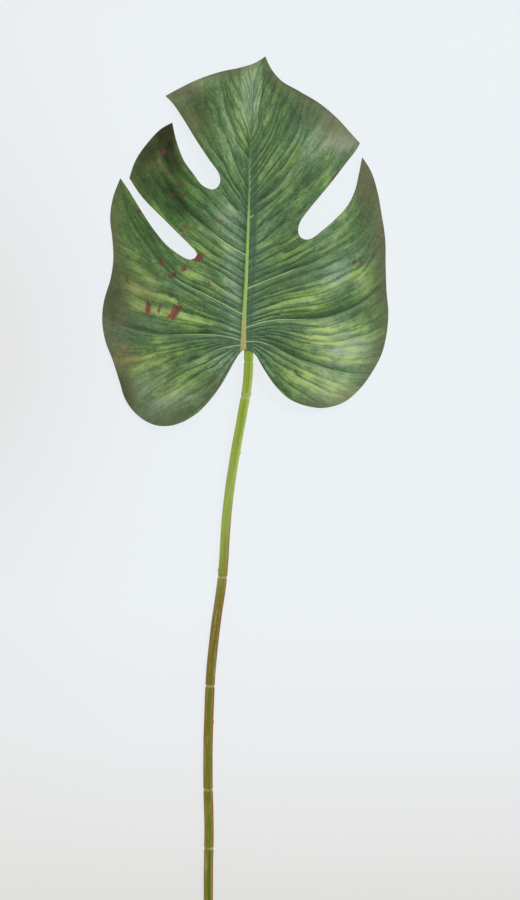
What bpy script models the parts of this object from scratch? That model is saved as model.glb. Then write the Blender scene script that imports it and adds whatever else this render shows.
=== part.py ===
"""A monstera leaf cut with its long stem, lying face up on a flat surface.

The blade is one thin sheet. Its outline has a heart-shaped foot, three deep slits and a short tip. The
midrib is pressed into it as a ridge and the side veins as creases, with the blade bulging softly between
them. The stem is one tapering petiole: below the blade it sinks to the surface it lies on, and under the
blade it runs on as the rib that carries the blade.

Lengths are in millimetres until a mesh or a curve is made. The leaf's own zero is the foot of the blade,
where the stem meets it: +X is to the leaf's right, +Y runs to its tip and +Z is up from the surface below.
"""

import math

import bmesh
import bpy
import numpy as np

MM = 0.001

# Driving dimensions
BLADE_THICKNESS = 0.9
TIP = 273.0
STEM_END = -527.5
STEM_RADIUS = 4.4
RIB_END = 236.0
RIB_END_RADIUS = 0.9
GAP = 0.3

# Place of the blade's foot, seen from the middle of the whole leaf's box
FOOT_FROM_MIDDLE = (0.8, 127.2)

# Heights of the blade's underside above the surface: along the midrib from the foot lobes to the tip, and
# how far it falls from the midrib to a side HALF_WIDTH away
SPINE = [(-75, 15.5), (0, 20.5), (70, 22.5), (150, 20), (220, 14), (TIP, 8)]
HALF_WIDTH = 133.0
SIDE_FALL = 23.0
FALL_POWER = 1.8

# Waves of the margin as (height, number round the blade, turn), about a point on the midrib
WAVES = [(1.9, 5, 0.4), (1.3, 8, 2.1)]
WAVE_CENTRE = TIP / 3

# Bulges between the creases: they rise from the midrib, and are calmer in the outer part of a row
BULGE = 3.0
BULGE_RISE = 42.0
MARGIN_CALM = 0.6
CALM_FROM = 0.5
CREASE = 0.5

# The pressed midrib, and the place up the leaf from which it fades
MIDRIB_RIDGE = 1.4
MIDRIB_HALF_WIDTH = 3.2
RIDGE_FADES_FROM = 180.0

# The midrib, seen from above, and the place on it where the last rows of the tip start
MIDRIB = [
    (-2.5, -0.5), (-2, 23), (0, 60), (1.5, 97.5), (3, 143), (3.5, 178.5), (6, 212), (10, 240), (18, TIP),
]
ROWS_END = 237

# The edge of the blade, each stretch from the midrib outwards or along a lobe's outer margin
SINUS_LEFT = [
    (-2.5, -0.5), (-5, -2.5), (-9, -8), (-16, -20.5), (-24.5, -35), (-34.5, -48), (-45, -58.5), (-57.5, -66.5),
]
SINUS_RIGHT = [(-2.5, -0.5), (2, 0), (5, -1), (8, -4), (16.5, -18), (28.5, -35), (40, -45.5), (52, -51)]
LOW_SLIT_LOWER = [
    (-45.5, 87.5), (-46.2, 85.8), (-48.5, 84.3), (-51.5, 83.5), (-55.5, 84.5), (-61.5, 88), (-73.5, 97),
    (-84, 109.5), (-99, 132), (-110, 150), (-117, 160),
]
LOW_SLIT_UPPER = [
    (-45.5, 87.5), (-45.7, 89.5), (-47, 92), (-50, 95), (-74.5, 119.5), (-99.5, 146), (-108.5, 160),
]
HIGH_SLIT_LOWER = [
    (-24.3, 154.5), (-25.5, 151.8), (-28, 149.5), (-31, 148.5), (-35, 149.5), (-39, 151.5), (-49, 163.5),
    (-57.5, 175.5), (-63, 189), (-67, 203.5), (-68.5, 211.5),
]
HIGH_SLIT_UPPER = [
    (-24.3, 154.5), (-23.8, 159), (-25.5, 164), (-33.5, 175.5), (-47, 196), (-58.5, 215), (-69.5, 231),
    (-75, 236.5),
]
RIGHT_SLIT_UPPER = [
    (48.8, 107.5), (48.4, 112.5), (50.5, 119), (56, 127), (68.5, 142.5), (80, 156.5), (92, 172.5), (103, 187),
    (106, 192.5),
]
RIGHT_SLIT_LOWER = [
    (48.8, 107.5), (50, 104.8), (52.5, 103), (56, 102), (60, 103), (70.5, 110.5), (83.5, 122), (94, 133.5),
    (101, 147.5), (105, 164), (108, 179.5),
]
LEFT_LOBE_MARGIN = [
    (-57.5, -66.5), (-70.5, -70.5), (-84, -70), (-96, -64.5), (-106, -55.5), (-113, -44.5), (-117.5, -30),
    (-125, -7), (-130, 5.5), (-133, 18), (-134, 31), (-132.5, 44.5), (-125.5, 69.5), (-123.5, 85.5),
    (-124.5, 104), (-126.5, 123), (-124.5, 139.5), (-117, 160),
]
FINGER_MARGIN = [(-108.5, 160), (-103, 176), (-91, 193.5), (-78, 206.5), (-68.5, 211.5)]
LEFT_TOP_MARGIN = [
    (-75, 236.5), (-63, 243), (-47.5, 250.5), (-22.5, 259), (-5.5, 262.5), (8.5, 267), (18, TIP),
]
RIGHT_TOP_MARGIN = [
    (106, 192.5), (96, 203.5), (86.5, 214), (69, 229), (49.5, 240.5), (31.5, 251.5), (22.5, 263), (18, TIP),
]
RIGHT_LOBE_MARGIN = [
    (52, -51), (70.5, -54), (90, -49), (106, -36), (118, -19.5), (126.5, -3), (131, 16), (132.5, 36),
    (131, 53), (130, 78), (129.5, 104), (126, 127.5), (122.5, 147), (115.5, 168), (108, 179.5),
]

# A row runs from the midrib to the margin, and SLIT_START is the share of it before a slit opens
SLIT_START = 1 / 3

# Places on the midrib where the lowest rows start and where the rows that end in a slit start
FOOT = -0.5
LOW_SLIT = 59.5
RIGHT_SLIT = 82
HIGH_SLIT = 124

# How far those rows bend towards the foot, as a share of their length, and how fast a side's own shape fades
ROW_BOW = {FOOT: 0.10, LOW_SLIT: 0.08, RIGHT_SLIT: 0.11, HIGH_SLIT: 0.07, ROWS_END: 0}
SWEEP_POWER = 1.5
TURN_POWER = 5

# Places on the midrib where a vein or a slit starts, each with the number of rows that lead up to it
ROW_STARTS = [
    (FOOT, 0), (4, 7), (7, 4), (10, 3), (21, 6), (35, 5), (57, 4), (LOW_SLIT, 1), (RIGHT_SLIT, 3), (88, 1),
    (HIGH_SLIT, 4), (156, 4), (187, 4), (ROWS_END, 5),
]
COLUMNS_BEFORE_SLITS = [0, 0.03, 0.075, 0.135, 0.2, 0.265]
COLUMNS_ALONG_SLITS = 12
COLUMN_POWER = 1.5

# Two points closer than this are one
TOUCH = 0.02

# The stem's centre line from its cut end to the rib's end under the blade, seen from above
STEM_ROUTE = [
    (-35, STEM_END), (-35, -488), (-34.5, -448), (-35.5, -387), (-34.5, -337.5), (-32.5, -296.5),
    (-29.5, -267), (-22, -211), (-17.5, -149), (-10, -96), (-3, -57.5), (1.5, -29), (2.5, -0.5), (1, 30),
    (0.5, 60), (1.5, 97.5), (3, 143), (3.5, 178.5), (6, 212), (9.2, RIB_END),
]
STEM_LIES_FLAT_TO = -330.0
STEM_STEP = 13.0
TAPER_FROM = -20.0
TAPER_POWER = 0.8

# Rings round the stem: where, how deep as a share of its radius, and how long. A ring has a point of its own
# in its middle and RING_STEP either side, and the even points leave RING_ROOM free for them
STEM_RINGS = [-11, -44, -211, -312.5, -409, -463.5]
RING_DEPTH = 0.09
RING_LENGTH = 2.1
RING_STEP = 3.5
RING_ROOM = 5.6

# The stem's section at radius 1: its flat below, and the channel along its top
PROFILE_POINTS = 16
PROFILE_FLOOR = 0.92
CHANNEL_DEPTH = 0.10
CHANNEL_WIDTH = 0.5

# Points read from a smooth curve: on each stretch of it, on a lobe's side, and on the whole stem or midrib
STRETCH_SAMPLES = 24
SIDE_SAMPLES = 61
ROUTE_SAMPLES = 2000

BLADE_COLOUR = (0.075, 0.15, 0.055, 1)
STEM_COLOUR = (0.24, 0.30, 0.06, 1)
BLADE_ROUGHNESS = 0.5
STEM_ROUGHNESS = 0.45


def path(points, shares):
    """Points at the given shares of the length of one smooth curve through the given points.

    Each stretch is a cubic whose end slopes are those of a parabola through three neighbouring points.
    """
    p = np.array(points, float)
    length = np.linalg.norm(np.diff(p, axis=0), axis=1)[:, None]
    slope = np.diff(p, axis=0) / length
    tangent = np.empty_like(p)
    tangent[1:-1] = (slope[1:] * length[:-1] + slope[:-1] * length[1:]) / (length[1:] + length[:-1])
    tangent[0] = 1.5 * slope[0] - 0.5 * tangent[1]
    tangent[-1] = 1.5 * slope[-1] - 0.5 * tangent[-2]
    u = np.linspace(0, 1, STRETCH_SAMPLES, endpoint=False)[None, :, None]
    start, end = p[:-1, None], p[1:, None]
    leave, arrive = (tangent[:-1] * length)[:, None], (tangent[1:] * length)[:, None]
    curve = (2 * u**3 - 3 * u**2 + 1) * start + (u**3 - 2 * u**2 + u) * leave
    curve = curve + (3 * u**2 - 2 * u**3) * end + (u**3 - u**2) * arrive
    curve = np.vstack([curve.reshape(-1, 2), p[-1:]])
    run = np.concatenate([[0], np.cumsum(np.linalg.norm(np.diff(curve, axis=0), axis=1))])
    return np.stack([np.interp(shares, run / run[-1], curve[:, axis]) for axis in (0, 1)], -1)


def steady(pairs, x):
    """A smooth curve through (x, value) pairs that never swings past them."""
    at, value = np.array(pairs, float).T
    width = np.diff(at)
    slope = np.diff(value) / width
    tangent = np.zeros_like(value)
    product, total = slope[1:] * slope[:-1], slope[1:] + slope[:-1]
    tangent[1:-1] = np.where(product > 0, 2 * product / np.where(product > 0, total, 1), 0)
    tangent[0], tangent[-1] = slope[0], slope[-1]
    k = np.clip(np.searchsorted(at, x, side="right") - 1, 0, len(width) - 1)
    u = (x - at[k]) / width[k]
    low = (2 * u**3 - 3 * u**2 + 1) * value[k] + (u**3 - 2 * u**2 + u) * width[k] * tangent[k]
    return low + (3 * u**2 - 2 * u**3) * value[k + 1] + (u**3 - u**2) * width[k] * tangent[k + 1]


def smooth_step(low, high, x):
    """0 up to low, 1 from high on, and an S between them."""
    u = np.clip((x - low) / (high - low), 0, 1)
    return u * u * (3 - 2 * u)


MIDRIB_CURVE = path(MIDRIB, np.linspace(0, 1, ROUTE_SAMPLES))


def midrib(y):
    """Points of the midrib at the given places up the leaf."""
    y = np.asarray(y, float)
    return np.stack([np.interp(y, MIDRIB_CURVE[:, 1], MIDRIB_CURVE[:, 0]), y], -1)


def bowed(inner, outer, bow, hand, t):
    """Straight rows from the midrib to the margin, each bent towards the foot by a parabola of depth bow."""
    chord = outer - inner
    across = np.stack([chord[..., 1], -chord[..., 0]], -1) * hand
    return inner + chord * t + across * bow * 4 * t * (1 - t)


def free_side(edge):
    """A lobe's side that is free all the way, such as beside the stem."""
    return lambda t: path(edge, t)


def slit_side(start, edge, hand):
    """A lobe's side that is joined to its neighbour up to the slit's bottom, and free beyond it."""

    def side(t):
        before = np.minimum(t / SLIT_START, 1)[:, None]
        joined = bowed(midrib(start), np.array(edge[0]), ROW_BOW[start], hand, before)
        free = path(edge, np.clip((t - SLIT_START) / (1 - SLIT_START), 0, 1))
        return np.where(t[:, None] < SLIT_START, joined, free)

    return side


def tip_side(t):
    """The side of the two top lobes where they meet: the end of the midrib itself."""
    return midrib(ROWS_END + (TIP - ROWS_END) * t)


# For each lobe: the hand it is on, its margin, its lower and upper sides, and its rows as (start of the row on
# the midrib, share of the margin where it ends, phase of the bulges). A bulge's top is at a whole number, and
# the crease of a vein is halfway between two
LOBES = {
    "left_lobe": {
        "hand": -1,
        "margin": LEFT_LOBE_MARGIN,
        "lower": free_side(SINUS_LEFT),
        "upper": slit_side(LOW_SLIT, LOW_SLIT_LOWER, -1),
        "rows": [(FOOT, 0, 0), (4, 0.28, 0.5), (10, 0.5, 1.5), (35, 0.87, 2.5), (LOW_SLIT, 1, 3)],
    },
    "finger": {
        "hand": -1,
        "margin": FINGER_MARGIN,
        "lower": slit_side(LOW_SLIT, LOW_SLIT_UPPER, -1),
        "upper": slit_side(HIGH_SLIT, HIGH_SLIT_LOWER, -1),
        "rows": [(LOW_SLIT, 0, 0), (88, 0.46, 0.5), (HIGH_SLIT, 1, 1)],
    },
    "left_top": {
        "hand": -1,
        "margin": LEFT_TOP_MARGIN,
        "lower": slit_side(HIGH_SLIT, HIGH_SLIT_UPPER, -1),
        "upper": tip_side,
        "rows": [(HIGH_SLIT, 0, 0), (187, 0.54, 0.5), (ROWS_END, 1, 1.5)],
    },
    "right_top": {
        "hand": 1,
        "margin": RIGHT_TOP_MARGIN,
        "lower": slit_side(RIGHT_SLIT, RIGHT_SLIT_UPPER, 1),
        "upper": tip_side,
        "rows": [
            (RIGHT_SLIT, 0, 0), (HIGH_SLIT, 0.13, 0.16), (156, 0.41, 0.5), (187, 0.73, 1.5),
            (ROWS_END, 1, 2.5),
        ],
    },
    "right_lobe": {
        "hand": 1,
        "margin": RIGHT_LOBE_MARGIN,
        "lower": free_side(SINUS_RIGHT),
        "upper": slit_side(RIGHT_SLIT, RIGHT_SLIT_LOWER, 1),
        "rows": [(FOOT, 0, 0), (7, 0.31, 0.5), (21, 0.63, 1.5), (57, 0.86, 2.5), (RIGHT_SLIT, 1, 3)],
    },
}


def departure(side, inner, outer, bow, hand, t):
    """How far a side lies from its bowed row: a broad sweep of three humps, and the sharp rest of it."""
    even = np.linspace(0, 1, SIDE_SAMPLES)

    def humps(v):
        return np.stack([v * (1 - v), v**2 * (1 - v), v**3 * (1 - v)], -1)

    def whole(v):
        return side(v) - bowed(inner, outer, bow, hand, v[:, None])

    share = np.linalg.lstsq(humps(even), whole(even), rcond=None)[0]
    return humps(t) @ share, whole(t) - humps(t) @ share


def lobe_rows(lobe, starts, t):
    """(phase of the bulges, flat points) of a lobe: one row of points for each start on the midrib.

    The rows are bowed lines from the midrib to the margin. At the lobe's two sides they follow its real edge,
    and that departure fades inwards, the broad sweep slowly and the turn at a slit's bottom within a few rows.
    """
    hand, margin, rows = lobe["hand"], lobe["margin"], lobe["rows"]
    first, last = rows[0][0], rows[-1][0]
    share = steady([(start, end) for start, end, _ in rows], starts)
    phase = np.interp(share, [end for _, end, _ in rows], [crest for _, _, crest in rows])
    along, across = share[:, None, None], t[None, :, None]
    low_bow, high_bow = ROW_BOW[first], ROW_BOW[last]
    inner, outer = midrib(starts)[:, None], path(margin, share)[:, None]
    grid = bowed(inner, outer, low_bow + (high_bow - low_bow) * along, hand, across)
    corners = midrib([first, last]), path(margin, [0, 1])
    sides = ((lobe["lower"], 0, low_bow, 1 - along), (lobe["upper"], 1, high_bow, along))
    for side, end, bow, near in sides:
        sweep, turn = departure(side, corners[0][end], corners[1][end], bow, hand, t)
        grid = grid + near**SWEEP_POWER * sweep + near**TURN_POWER * turn
    return phase, grid


def underside(flat, t, phase):
    """Height of the blade's underside: its arch over the surface, its waves, the creases and the midrib."""
    x, y = flat[..., 0], flat[..., 1]
    from_midrib = np.abs(x - midrib(y)[..., 0])
    arch = steady(SPINE, y) - SIDE_FALL * (from_midrib / HALF_WIDTH) ** FALL_POWER
    angle = np.arctan2(y - WAVE_CENTRE, x)
    wave = sum(height * np.sin(count * angle + turn) for height, count, turn in WAVES)
    wave = wave * (from_midrib / HALF_WIDTH) ** 2
    fullness = smooth_step(0, BULGE_RISE, from_midrib) * (1 - MARGIN_CALM * smooth_step(CALM_FROM, 1, t))
    bulge = BULGE * fullness * np.abs(np.cos(math.pi * phase))
    ridge = MIDRIB_RIDGE * np.exp(-((from_midrib / MIDRIB_HALF_WIDTH) ** 2))
    ridge = ridge * (1 - smooth_step(RIDGE_FADES_FROM, TIP, y))
    return np.maximum(arch + wave + bulge + ridge, 0)


def make_material(name, colour, roughness):
    material = bpy.data.materials.new(name)
    material.use_nodes = True
    shader = material.node_tree.nodes["Principled BSDF"]
    shader.inputs["Base Color"].default_value = colour
    shader.inputs["Roughness"].default_value = roughness
    shader.inputs["Metallic"].default_value = 0
    return material


def new_collection(name):
    collection = bpy.data.collections.new(name)
    bpy.context.scene.collection.children.link(collection)
    return collection


def place(name, data, collection):
    """A new object whose own zero, the foot of the blade, stands at its place from the leaf's middle."""
    made = bpy.data.objects.new(name, data)
    made.location = (FOOT_FROM_MIDDLE[0] * MM, FOOT_FROM_MIDDLE[1] * MM, 0)
    collection.objects.link(made)
    return made


def blade_columns():
    """Shares of a row at which it has a point, the same on every row, closest near the slits' bottoms."""
    along = np.linspace(0, 1, COLUMNS_ALONG_SLITS + 1) ** COLUMN_POWER
    return np.concatenate([COLUMNS_BEFORE_SLITS, SLIT_START + (1 - SLIT_START) * along])


def row_starts(first, last):
    """Starts of the rows from one place on the midrib to another, the same on both sides of it."""
    starts = [FOOT]
    for (low, _), (high, rows) in zip(ROW_STARTS, ROW_STARTS[1:]):
        starts.extend(low + (high - low) * (row + 1) / rows for row in range(rows))
    starts = np.array(starts)
    return starts[(starts > first - TOUCH) & (starts < last + TOUCH)]


def add_lobe(mesh, lobe, t):
    """Adds a flat grid to the mesh and moves each of its points to its place on the lobe."""
    starts = row_starts(lobe["rows"][0][0], lobe["rows"][-1][0])
    phase, flat = lobe_rows(lobe, starts, t)
    height = underside(flat, t[None, :], phase[:, None])
    rows, columns = height.shape
    grid = bmesh.ops.create_grid(mesh, x_segments=columns - 1, y_segments=rows - 1, size=1)["verts"]
    for vertex in grid:
        column = round((vertex.co.x + 1) / 2 * (columns - 1))
        row = round((vertex.co.y + 1) / 2 * (rows - 1))
        vertex.co = (*(flat[row, column] * MM), height[row, column] * MM)


def make_blade(collection):
    """The blade's underside, from one grid for each lobe, joined where they meet and thickened upwards."""
    mesh = bmesh.new()
    for lobe in LOBES.values():
        add_lobe(mesh, lobe, blade_columns())
    bmesh.ops.remove_doubles(mesh, verts=mesh.verts, dist=TOUCH * MM)
    bmesh.ops.recalc_face_normals(mesh, faces=mesh.faces)
    if sum(face.normal.z for face in mesh.faces) < 0:
        bmesh.ops.reverse_faces(mesh, faces=mesh.faces)
    bmesh.ops.triangulate(mesh, faces=mesh.faces)
    data = bpy.data.meshes.new("leaf_blade")
    mesh.to_mesh(data)
    mesh.free()
    blade = place("leaf_blade", data, collection)
    wall = blade.modifiers.new("thickness", "SOLIDIFY")
    wall.thickness = BLADE_THICKNESS * MM
    wall.offset = 1
    data.materials.append(make_material("leaf_blade", BLADE_COLOUR, BLADE_ROUGHNESS))
    data.shade_smooth()
    return blade


def make_profile(collection):
    """The stem's cross-section at radius 1: round, with a narrow flat below and a shallow channel on top."""
    angle = -np.arange(PROFILE_POINTS) * 2 * math.pi / PROFILE_POINTS
    channel = 1 - CHANNEL_DEPTH * np.exp(-((np.cos(angle) / CHANNEL_WIDTH) ** 2)) * (np.sin(angle) > 0)
    across, up = np.cos(angle) * channel, np.maximum(np.sin(angle) * channel, -PROFILE_FLOOR)
    data = bpy.data.curves.new("stem_profile", "CURVE")
    data.dimensions = "2D"
    spline = data.splines.new("POLY")
    spline.points.add(PROFILE_POINTS - 1)
    spline.points.foreach_set("co", np.stack([across, up, 0 * up, 0 * up + 1], -1).ravel())
    spline.use_cyclic_u = True
    profile = bpy.data.objects.new("stem_profile", data)
    collection.objects.link(profile)
    profile.hide_render = True
    profile.display_type = "WIRE"
    return profile


def stem_places():
    """Places up the leaf of the stem's points: an even step, and three more at each ring."""
    even = np.linspace(STEM_END, RIB_END, round((RIB_END - STEM_END) / STEM_STEP) + 1)
    rings = np.array(STEM_RINGS)
    clear = np.abs(even[:, None] - rings[None, :]).min(axis=1) > RING_ROOM
    near = (rings[:, None] + np.array([-1, 0, 1]) * RING_STEP).ravel()
    return np.sort(np.concatenate([even[clear], near]))


def stem_radius(y):
    """Even along the free stem, waisted at each ring, and tapering to the rib's end under the blade."""
    taper = smooth_step(TAPER_FROM, RIB_END, y) ** TAPER_POWER
    radius = STEM_RADIUS + (RIB_END_RADIUS - STEM_RADIUS) * taper
    waist = sum(np.exp(-(((y - ring) / RING_LENGTH) ** 2)) for ring in STEM_RINGS)
    return radius * (1 - RING_DEPTH * waist)


def stem_height(x, y, radius):
    """Height of the stem's centre: on the surface at its lower end, just under the blade from its foot on."""
    under_blade = underside(np.stack([x, np.maximum(y, FOOT)], -1), 0, CREASE) - GAP - radius
    rise = smooth_step(STEM_LIES_FLAT_TO, FOOT, y)
    return PROFILE_FLOOR * radius * (1 - rise) + under_blade * rise


def make_stem(collection, profile):
    """One open curve through the stem's points, with the profile drawn along it and its ends closed."""
    curve = path(STEM_ROUTE, np.linspace(0, 1, ROUTE_SAMPLES))
    y = stem_places()
    x, radius = np.interp(y, curve[:, 1], curve[:, 0]), stem_radius(y)
    z = stem_height(x, y, radius)
    data = bpy.data.curves.new("stem", "CURVE")
    data.dimensions = "3D"
    data.twist_mode = "Z_UP"
    data.bevel_mode = "OBJECT"
    data.bevel_object = profile
    data.use_fill_caps = True
    spline = data.splines.new("POLY")
    spline.points.add(len(y) - 1)
    spline.points.foreach_set("co", np.stack([x * MM, y * MM, z * MM, 0 * y + 1], -1).ravel())
    spline.points.foreach_set("radius", radius * MM)
    data.materials.append(make_material("stem", STEM_COLOUR, STEM_ROUGHNESS))
    return place("stem", data, collection)


def main():
    for old in list(bpy.data.objects):
        bpy.data.objects.remove(old)
    leaf, guides = new_collection("monstera_leaf"), new_collection("guides")
    guides.hide_render = True
    make_blade(leaf)
    make_stem(leaf, make_profile(guides))


main()
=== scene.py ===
"""The looks of a cut monstera leaf: a pressed and printed blade with its ribs and veins, and its ringed stem.

Lengths are in millimetres in the leaf's own frame until a mesh is made. Its zero is the foot of the blade,
where the stem meets it: +X is to the leaf's right, +Y runs to its tip and +Z is up from the surface below.
"""

import math
from functools import reduce
from types import SimpleNamespace

import bmesh
import bpy
import numpy as np
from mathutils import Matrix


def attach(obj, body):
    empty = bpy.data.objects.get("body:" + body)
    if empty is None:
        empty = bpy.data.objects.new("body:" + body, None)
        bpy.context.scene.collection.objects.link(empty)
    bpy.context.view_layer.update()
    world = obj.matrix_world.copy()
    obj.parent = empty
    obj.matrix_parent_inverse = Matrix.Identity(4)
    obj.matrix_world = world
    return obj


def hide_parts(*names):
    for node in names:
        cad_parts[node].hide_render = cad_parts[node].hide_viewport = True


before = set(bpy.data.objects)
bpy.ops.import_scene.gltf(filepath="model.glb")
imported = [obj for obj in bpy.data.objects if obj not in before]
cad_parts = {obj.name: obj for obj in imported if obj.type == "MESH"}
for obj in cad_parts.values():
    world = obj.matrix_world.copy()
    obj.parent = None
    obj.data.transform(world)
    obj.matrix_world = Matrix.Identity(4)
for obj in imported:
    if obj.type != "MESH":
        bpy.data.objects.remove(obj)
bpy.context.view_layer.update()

MM = 0.001

# Place of the blade's foot in the frame
FOOT_PLACE = (0.8, 127.2)

# Points nearer to each other than this are one
TOUCH = 0.001

# The blade's real thickness and how far up from its foot its tip lies
SHEET = 0.7
TIP = 273.0

# The arch of its underside as (place up the leaf, height) along the midrib, and how it falls to the sides
SPINE = [(-75, 15.5), (0, 20.5), (70, 22.5), (150, 20), (220, 14), (TIP, 8)]
HALF_WIDTH = 133.0
SIDE_FALL = 23.0
FALL_POWER = 1.8

# Waves that go round the blade's middle, as (height at the margin, how many go round, turn)
WAVES = [(1.9, 5, 0.4), (1.3, 8, 2.1)]
WAVE_CENTRE = TIP / 3

# Bulges between its main veins, which rise out from the midrib and calm down at the margin, and the creases
# between them, one at each number that ends in a half
BULGE = 3.0
BULGE_RISE = 42.0
MARGIN_CALM = 0.6
CALM_FROM = 0.5
CREASE = 0.5
CREASE_ROUNDING = 0.12

# The ridge of the midrib
MIDRIB_RIDGE = 1.4
MIDRIB_HALF_WIDTH = 3.2
RIDGE_FADES_FROM = 180.0

# The midrib, seen from above, and the place on it where the last rows of the tip start
MIDRIB = [
    (-2.5, -0.5), (-2, 23), (0, 60), (1.5, 97.5), (3, 143), (3.7, 181), (5.6, 206), (6.8, 238), (10.5, 258),
    (18, TIP),
]
ROWS_END = 237

# The edge of the blade, each stretch from the midrib outwards or along a lobe's outer margin
SINUS_LEFT = [
    (-2.5, -0.5), (-5, -2.5), (-9, -8), (-16, -20.5), (-24.5, -35), (-34.5, -48), (-45, -58.5),
    (-57.5, -66.5),
]
SINUS_RIGHT = [(-2.5, -0.5), (2, 0), (5, -1), (8, -4), (16.5, -18), (28.5, -35), (40, -45.5), (52, -51)]
LOW_SLIT_LOWER = [
    (-45.5, 87.5), (-46.2, 85.8), (-48.5, 84.3), (-51.5, 83.5), (-55.5, 84.5), (-61.5, 88), (-73.5, 97),
    (-84, 109.5), (-99, 132), (-110, 150), (-117, 160),
]
LOW_SLIT_UPPER = [
    (-45.5, 87.5), (-45.7, 89.5), (-47, 92), (-50, 95), (-74.5, 119.5), (-99.5, 146), (-108.5, 160),
]
HIGH_SLIT_LOWER = [
    (-24.3, 154.5), (-25.5, 151.8), (-28, 149.5), (-31, 148.5), (-35, 149.5), (-39, 151.5), (-49, 163.5),
    (-57.5, 175.5), (-63, 189), (-67, 203.5), (-68.5, 211.5),
]
HIGH_SLIT_UPPER = [
    (-24.3, 154.5), (-23.8, 159), (-25.5, 164), (-33.5, 175.5), (-47, 196), (-58.5, 215), (-69.5, 231),
    (-75, 236.5),
]
RIGHT_SLIT_UPPER = [
    (48.8, 107.5), (48.4, 112.5), (50.5, 119), (56, 127), (68.5, 142.5), (80, 156.5), (92, 172.5),
    (103, 187), (106, 192.5),
]
RIGHT_SLIT_LOWER = [
    (48.8, 107.5), (50, 104.8), (52.5, 103), (56, 102), (60, 103), (70.5, 110.5), (83.5, 122), (94, 133.5),
    (101, 147.5), (105, 164), (108, 179.5),
]
LEFT_LOBE_MARGIN = [
    (-57.5, -66.5), (-70.5, -70.5), (-84, -70), (-96, -64.5), (-106, -55.5), (-113, -44.5), (-117.5, -30),
    (-125, -7), (-130, 5.5), (-133, 18), (-134, 31), (-132.5, 44.5), (-125.5, 69.5), (-123.5, 85.5),
    (-124.5, 104), (-126.5, 123), (-124.5, 139.5), (-117, 160),
]
FINGER_MARGIN = [(-108.5, 160), (-103, 176), (-91, 193.5), (-78, 206.5), (-68.5, 211.5)]
LEFT_TOP_MARGIN = [
    (-75, 236.5), (-63, 243), (-47.5, 250.5), (-22.5, 259), (-5.5, 262.5), (8.5, 267), (18, TIP),
]
RIGHT_TOP_MARGIN = [
    (106, 192.5), (96, 203.5), (86.5, 214), (69, 229), (49.5, 240.5), (31.5, 251.5), (22.5, 263), (18, TIP),
]
RIGHT_LOBE_MARGIN = [
    (52, -51), (70.5, -54), (90, -49), (106, -36), (118, -19.5), (126.5, -3), (131, 16), (132.5, 36),
    (131, 53), (130, 78), (129.5, 104), (126, 127.5), (122.5, 147), (115.5, 168), (108, 179.5),
]

# Rows of points run from the midrib to the margin. These are the places on the midrib where the rows at the
# lobes' sides start, the share of a row before its slit opens, and how deep each of these rows is bowed
FOOT = -0.5
LOW_SLIT = 59.5
RIGHT_SLIT = 82
HIGH_SLIT = 124
SLIT_START = 1 / 3
ROW_BOW = {FOOT: 0.10, LOW_SLIT: 0.08, RIGHT_SLIT: 0.11, HIGH_SLIT: 0.07, ROWS_END: 0}

# How fast the broad sweep and the sharp turn of a lobe's side fade into the lobe
SWEEP_POWER = 1.5
TURN_POWER = 5

# Places on the midrib where a vein or a slit starts, each with the number of rows that lead up to it
ROW_STARTS = [
    (FOOT, 0), (4, 56), (7, 32), (10, 24), (21, 48), (35, 40), (57, 32), (LOW_SLIT, 8), (RIGHT_SLIT, 24),
    (88, 8), (HIGH_SLIT, 32), (156, 32), (187, 32), (ROWS_END, 40),
]

# Columns of points up to the slits' bottoms, closer together at the midrib by a power, and from there on
COLUMNS_BEFORE_SLITS = 28
COLUMNS_ALONG_SLITS = 56
COLUMN_POWER = 1.25

# Fine veins: how many lie below each place among the numbered lines, as (number, count), and how uneven their
# spacing is, as (size, pace, turn)
FINE_COUNT = [
    (0, 0), (0.5, 4.5), (1.5, 9.5), (2.5, 14.5), (3.5, 21.5), (4.5, 28.5), (5.5, 36.5),
    (10, 0), (10.5, 4.5), (11.5, 10.5), (12.5, 17.5), (13.5, 25.5), (14.5, 32.5), (15.5, 39.5),
]
FINE_UNEVEN = [(0.2, 1.7, 0.0), (0.05, 4.1, 1.0)]

# Relief of the veins: a groove at each fine vein, a bulge between two of them, and a raised line where a main
# vein is pale, full up to this share of that length
FINE_GROOVE = 0.12
FINE_GROOVE_HALF_WIDTH = 1.2
FINE_BULGE = 0.16
RAISED_VEIN = 0.35
RAISED_VEIN_HALF_WIDTH = 1.3
RAISED_FULL_TO = 0.7

# Where that relief is gone and where it is full: by the room between veins, in from the edge, and out from
# the midrib
FINE_ROOM = (2, 6)
FINE_FROM_EDGE = (1, 9)
FINE_FROM_MIDRIB = (3, 14)
RAISED_ROOM = (3, 8)
RAISED_FROM_MIDRIB = (0.5, 3)

# Half width of the printed midrib at places up the leaf
RIB_PRINT = [
    (-3, 3.0), (5, 2.7), (37, 1.8), (60, 1.5), (97, 1.25), (122, 1.1), (133, 0.85), (145, 0.6), (157, 0.45),
    (TIP, 0.3),
]

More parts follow.
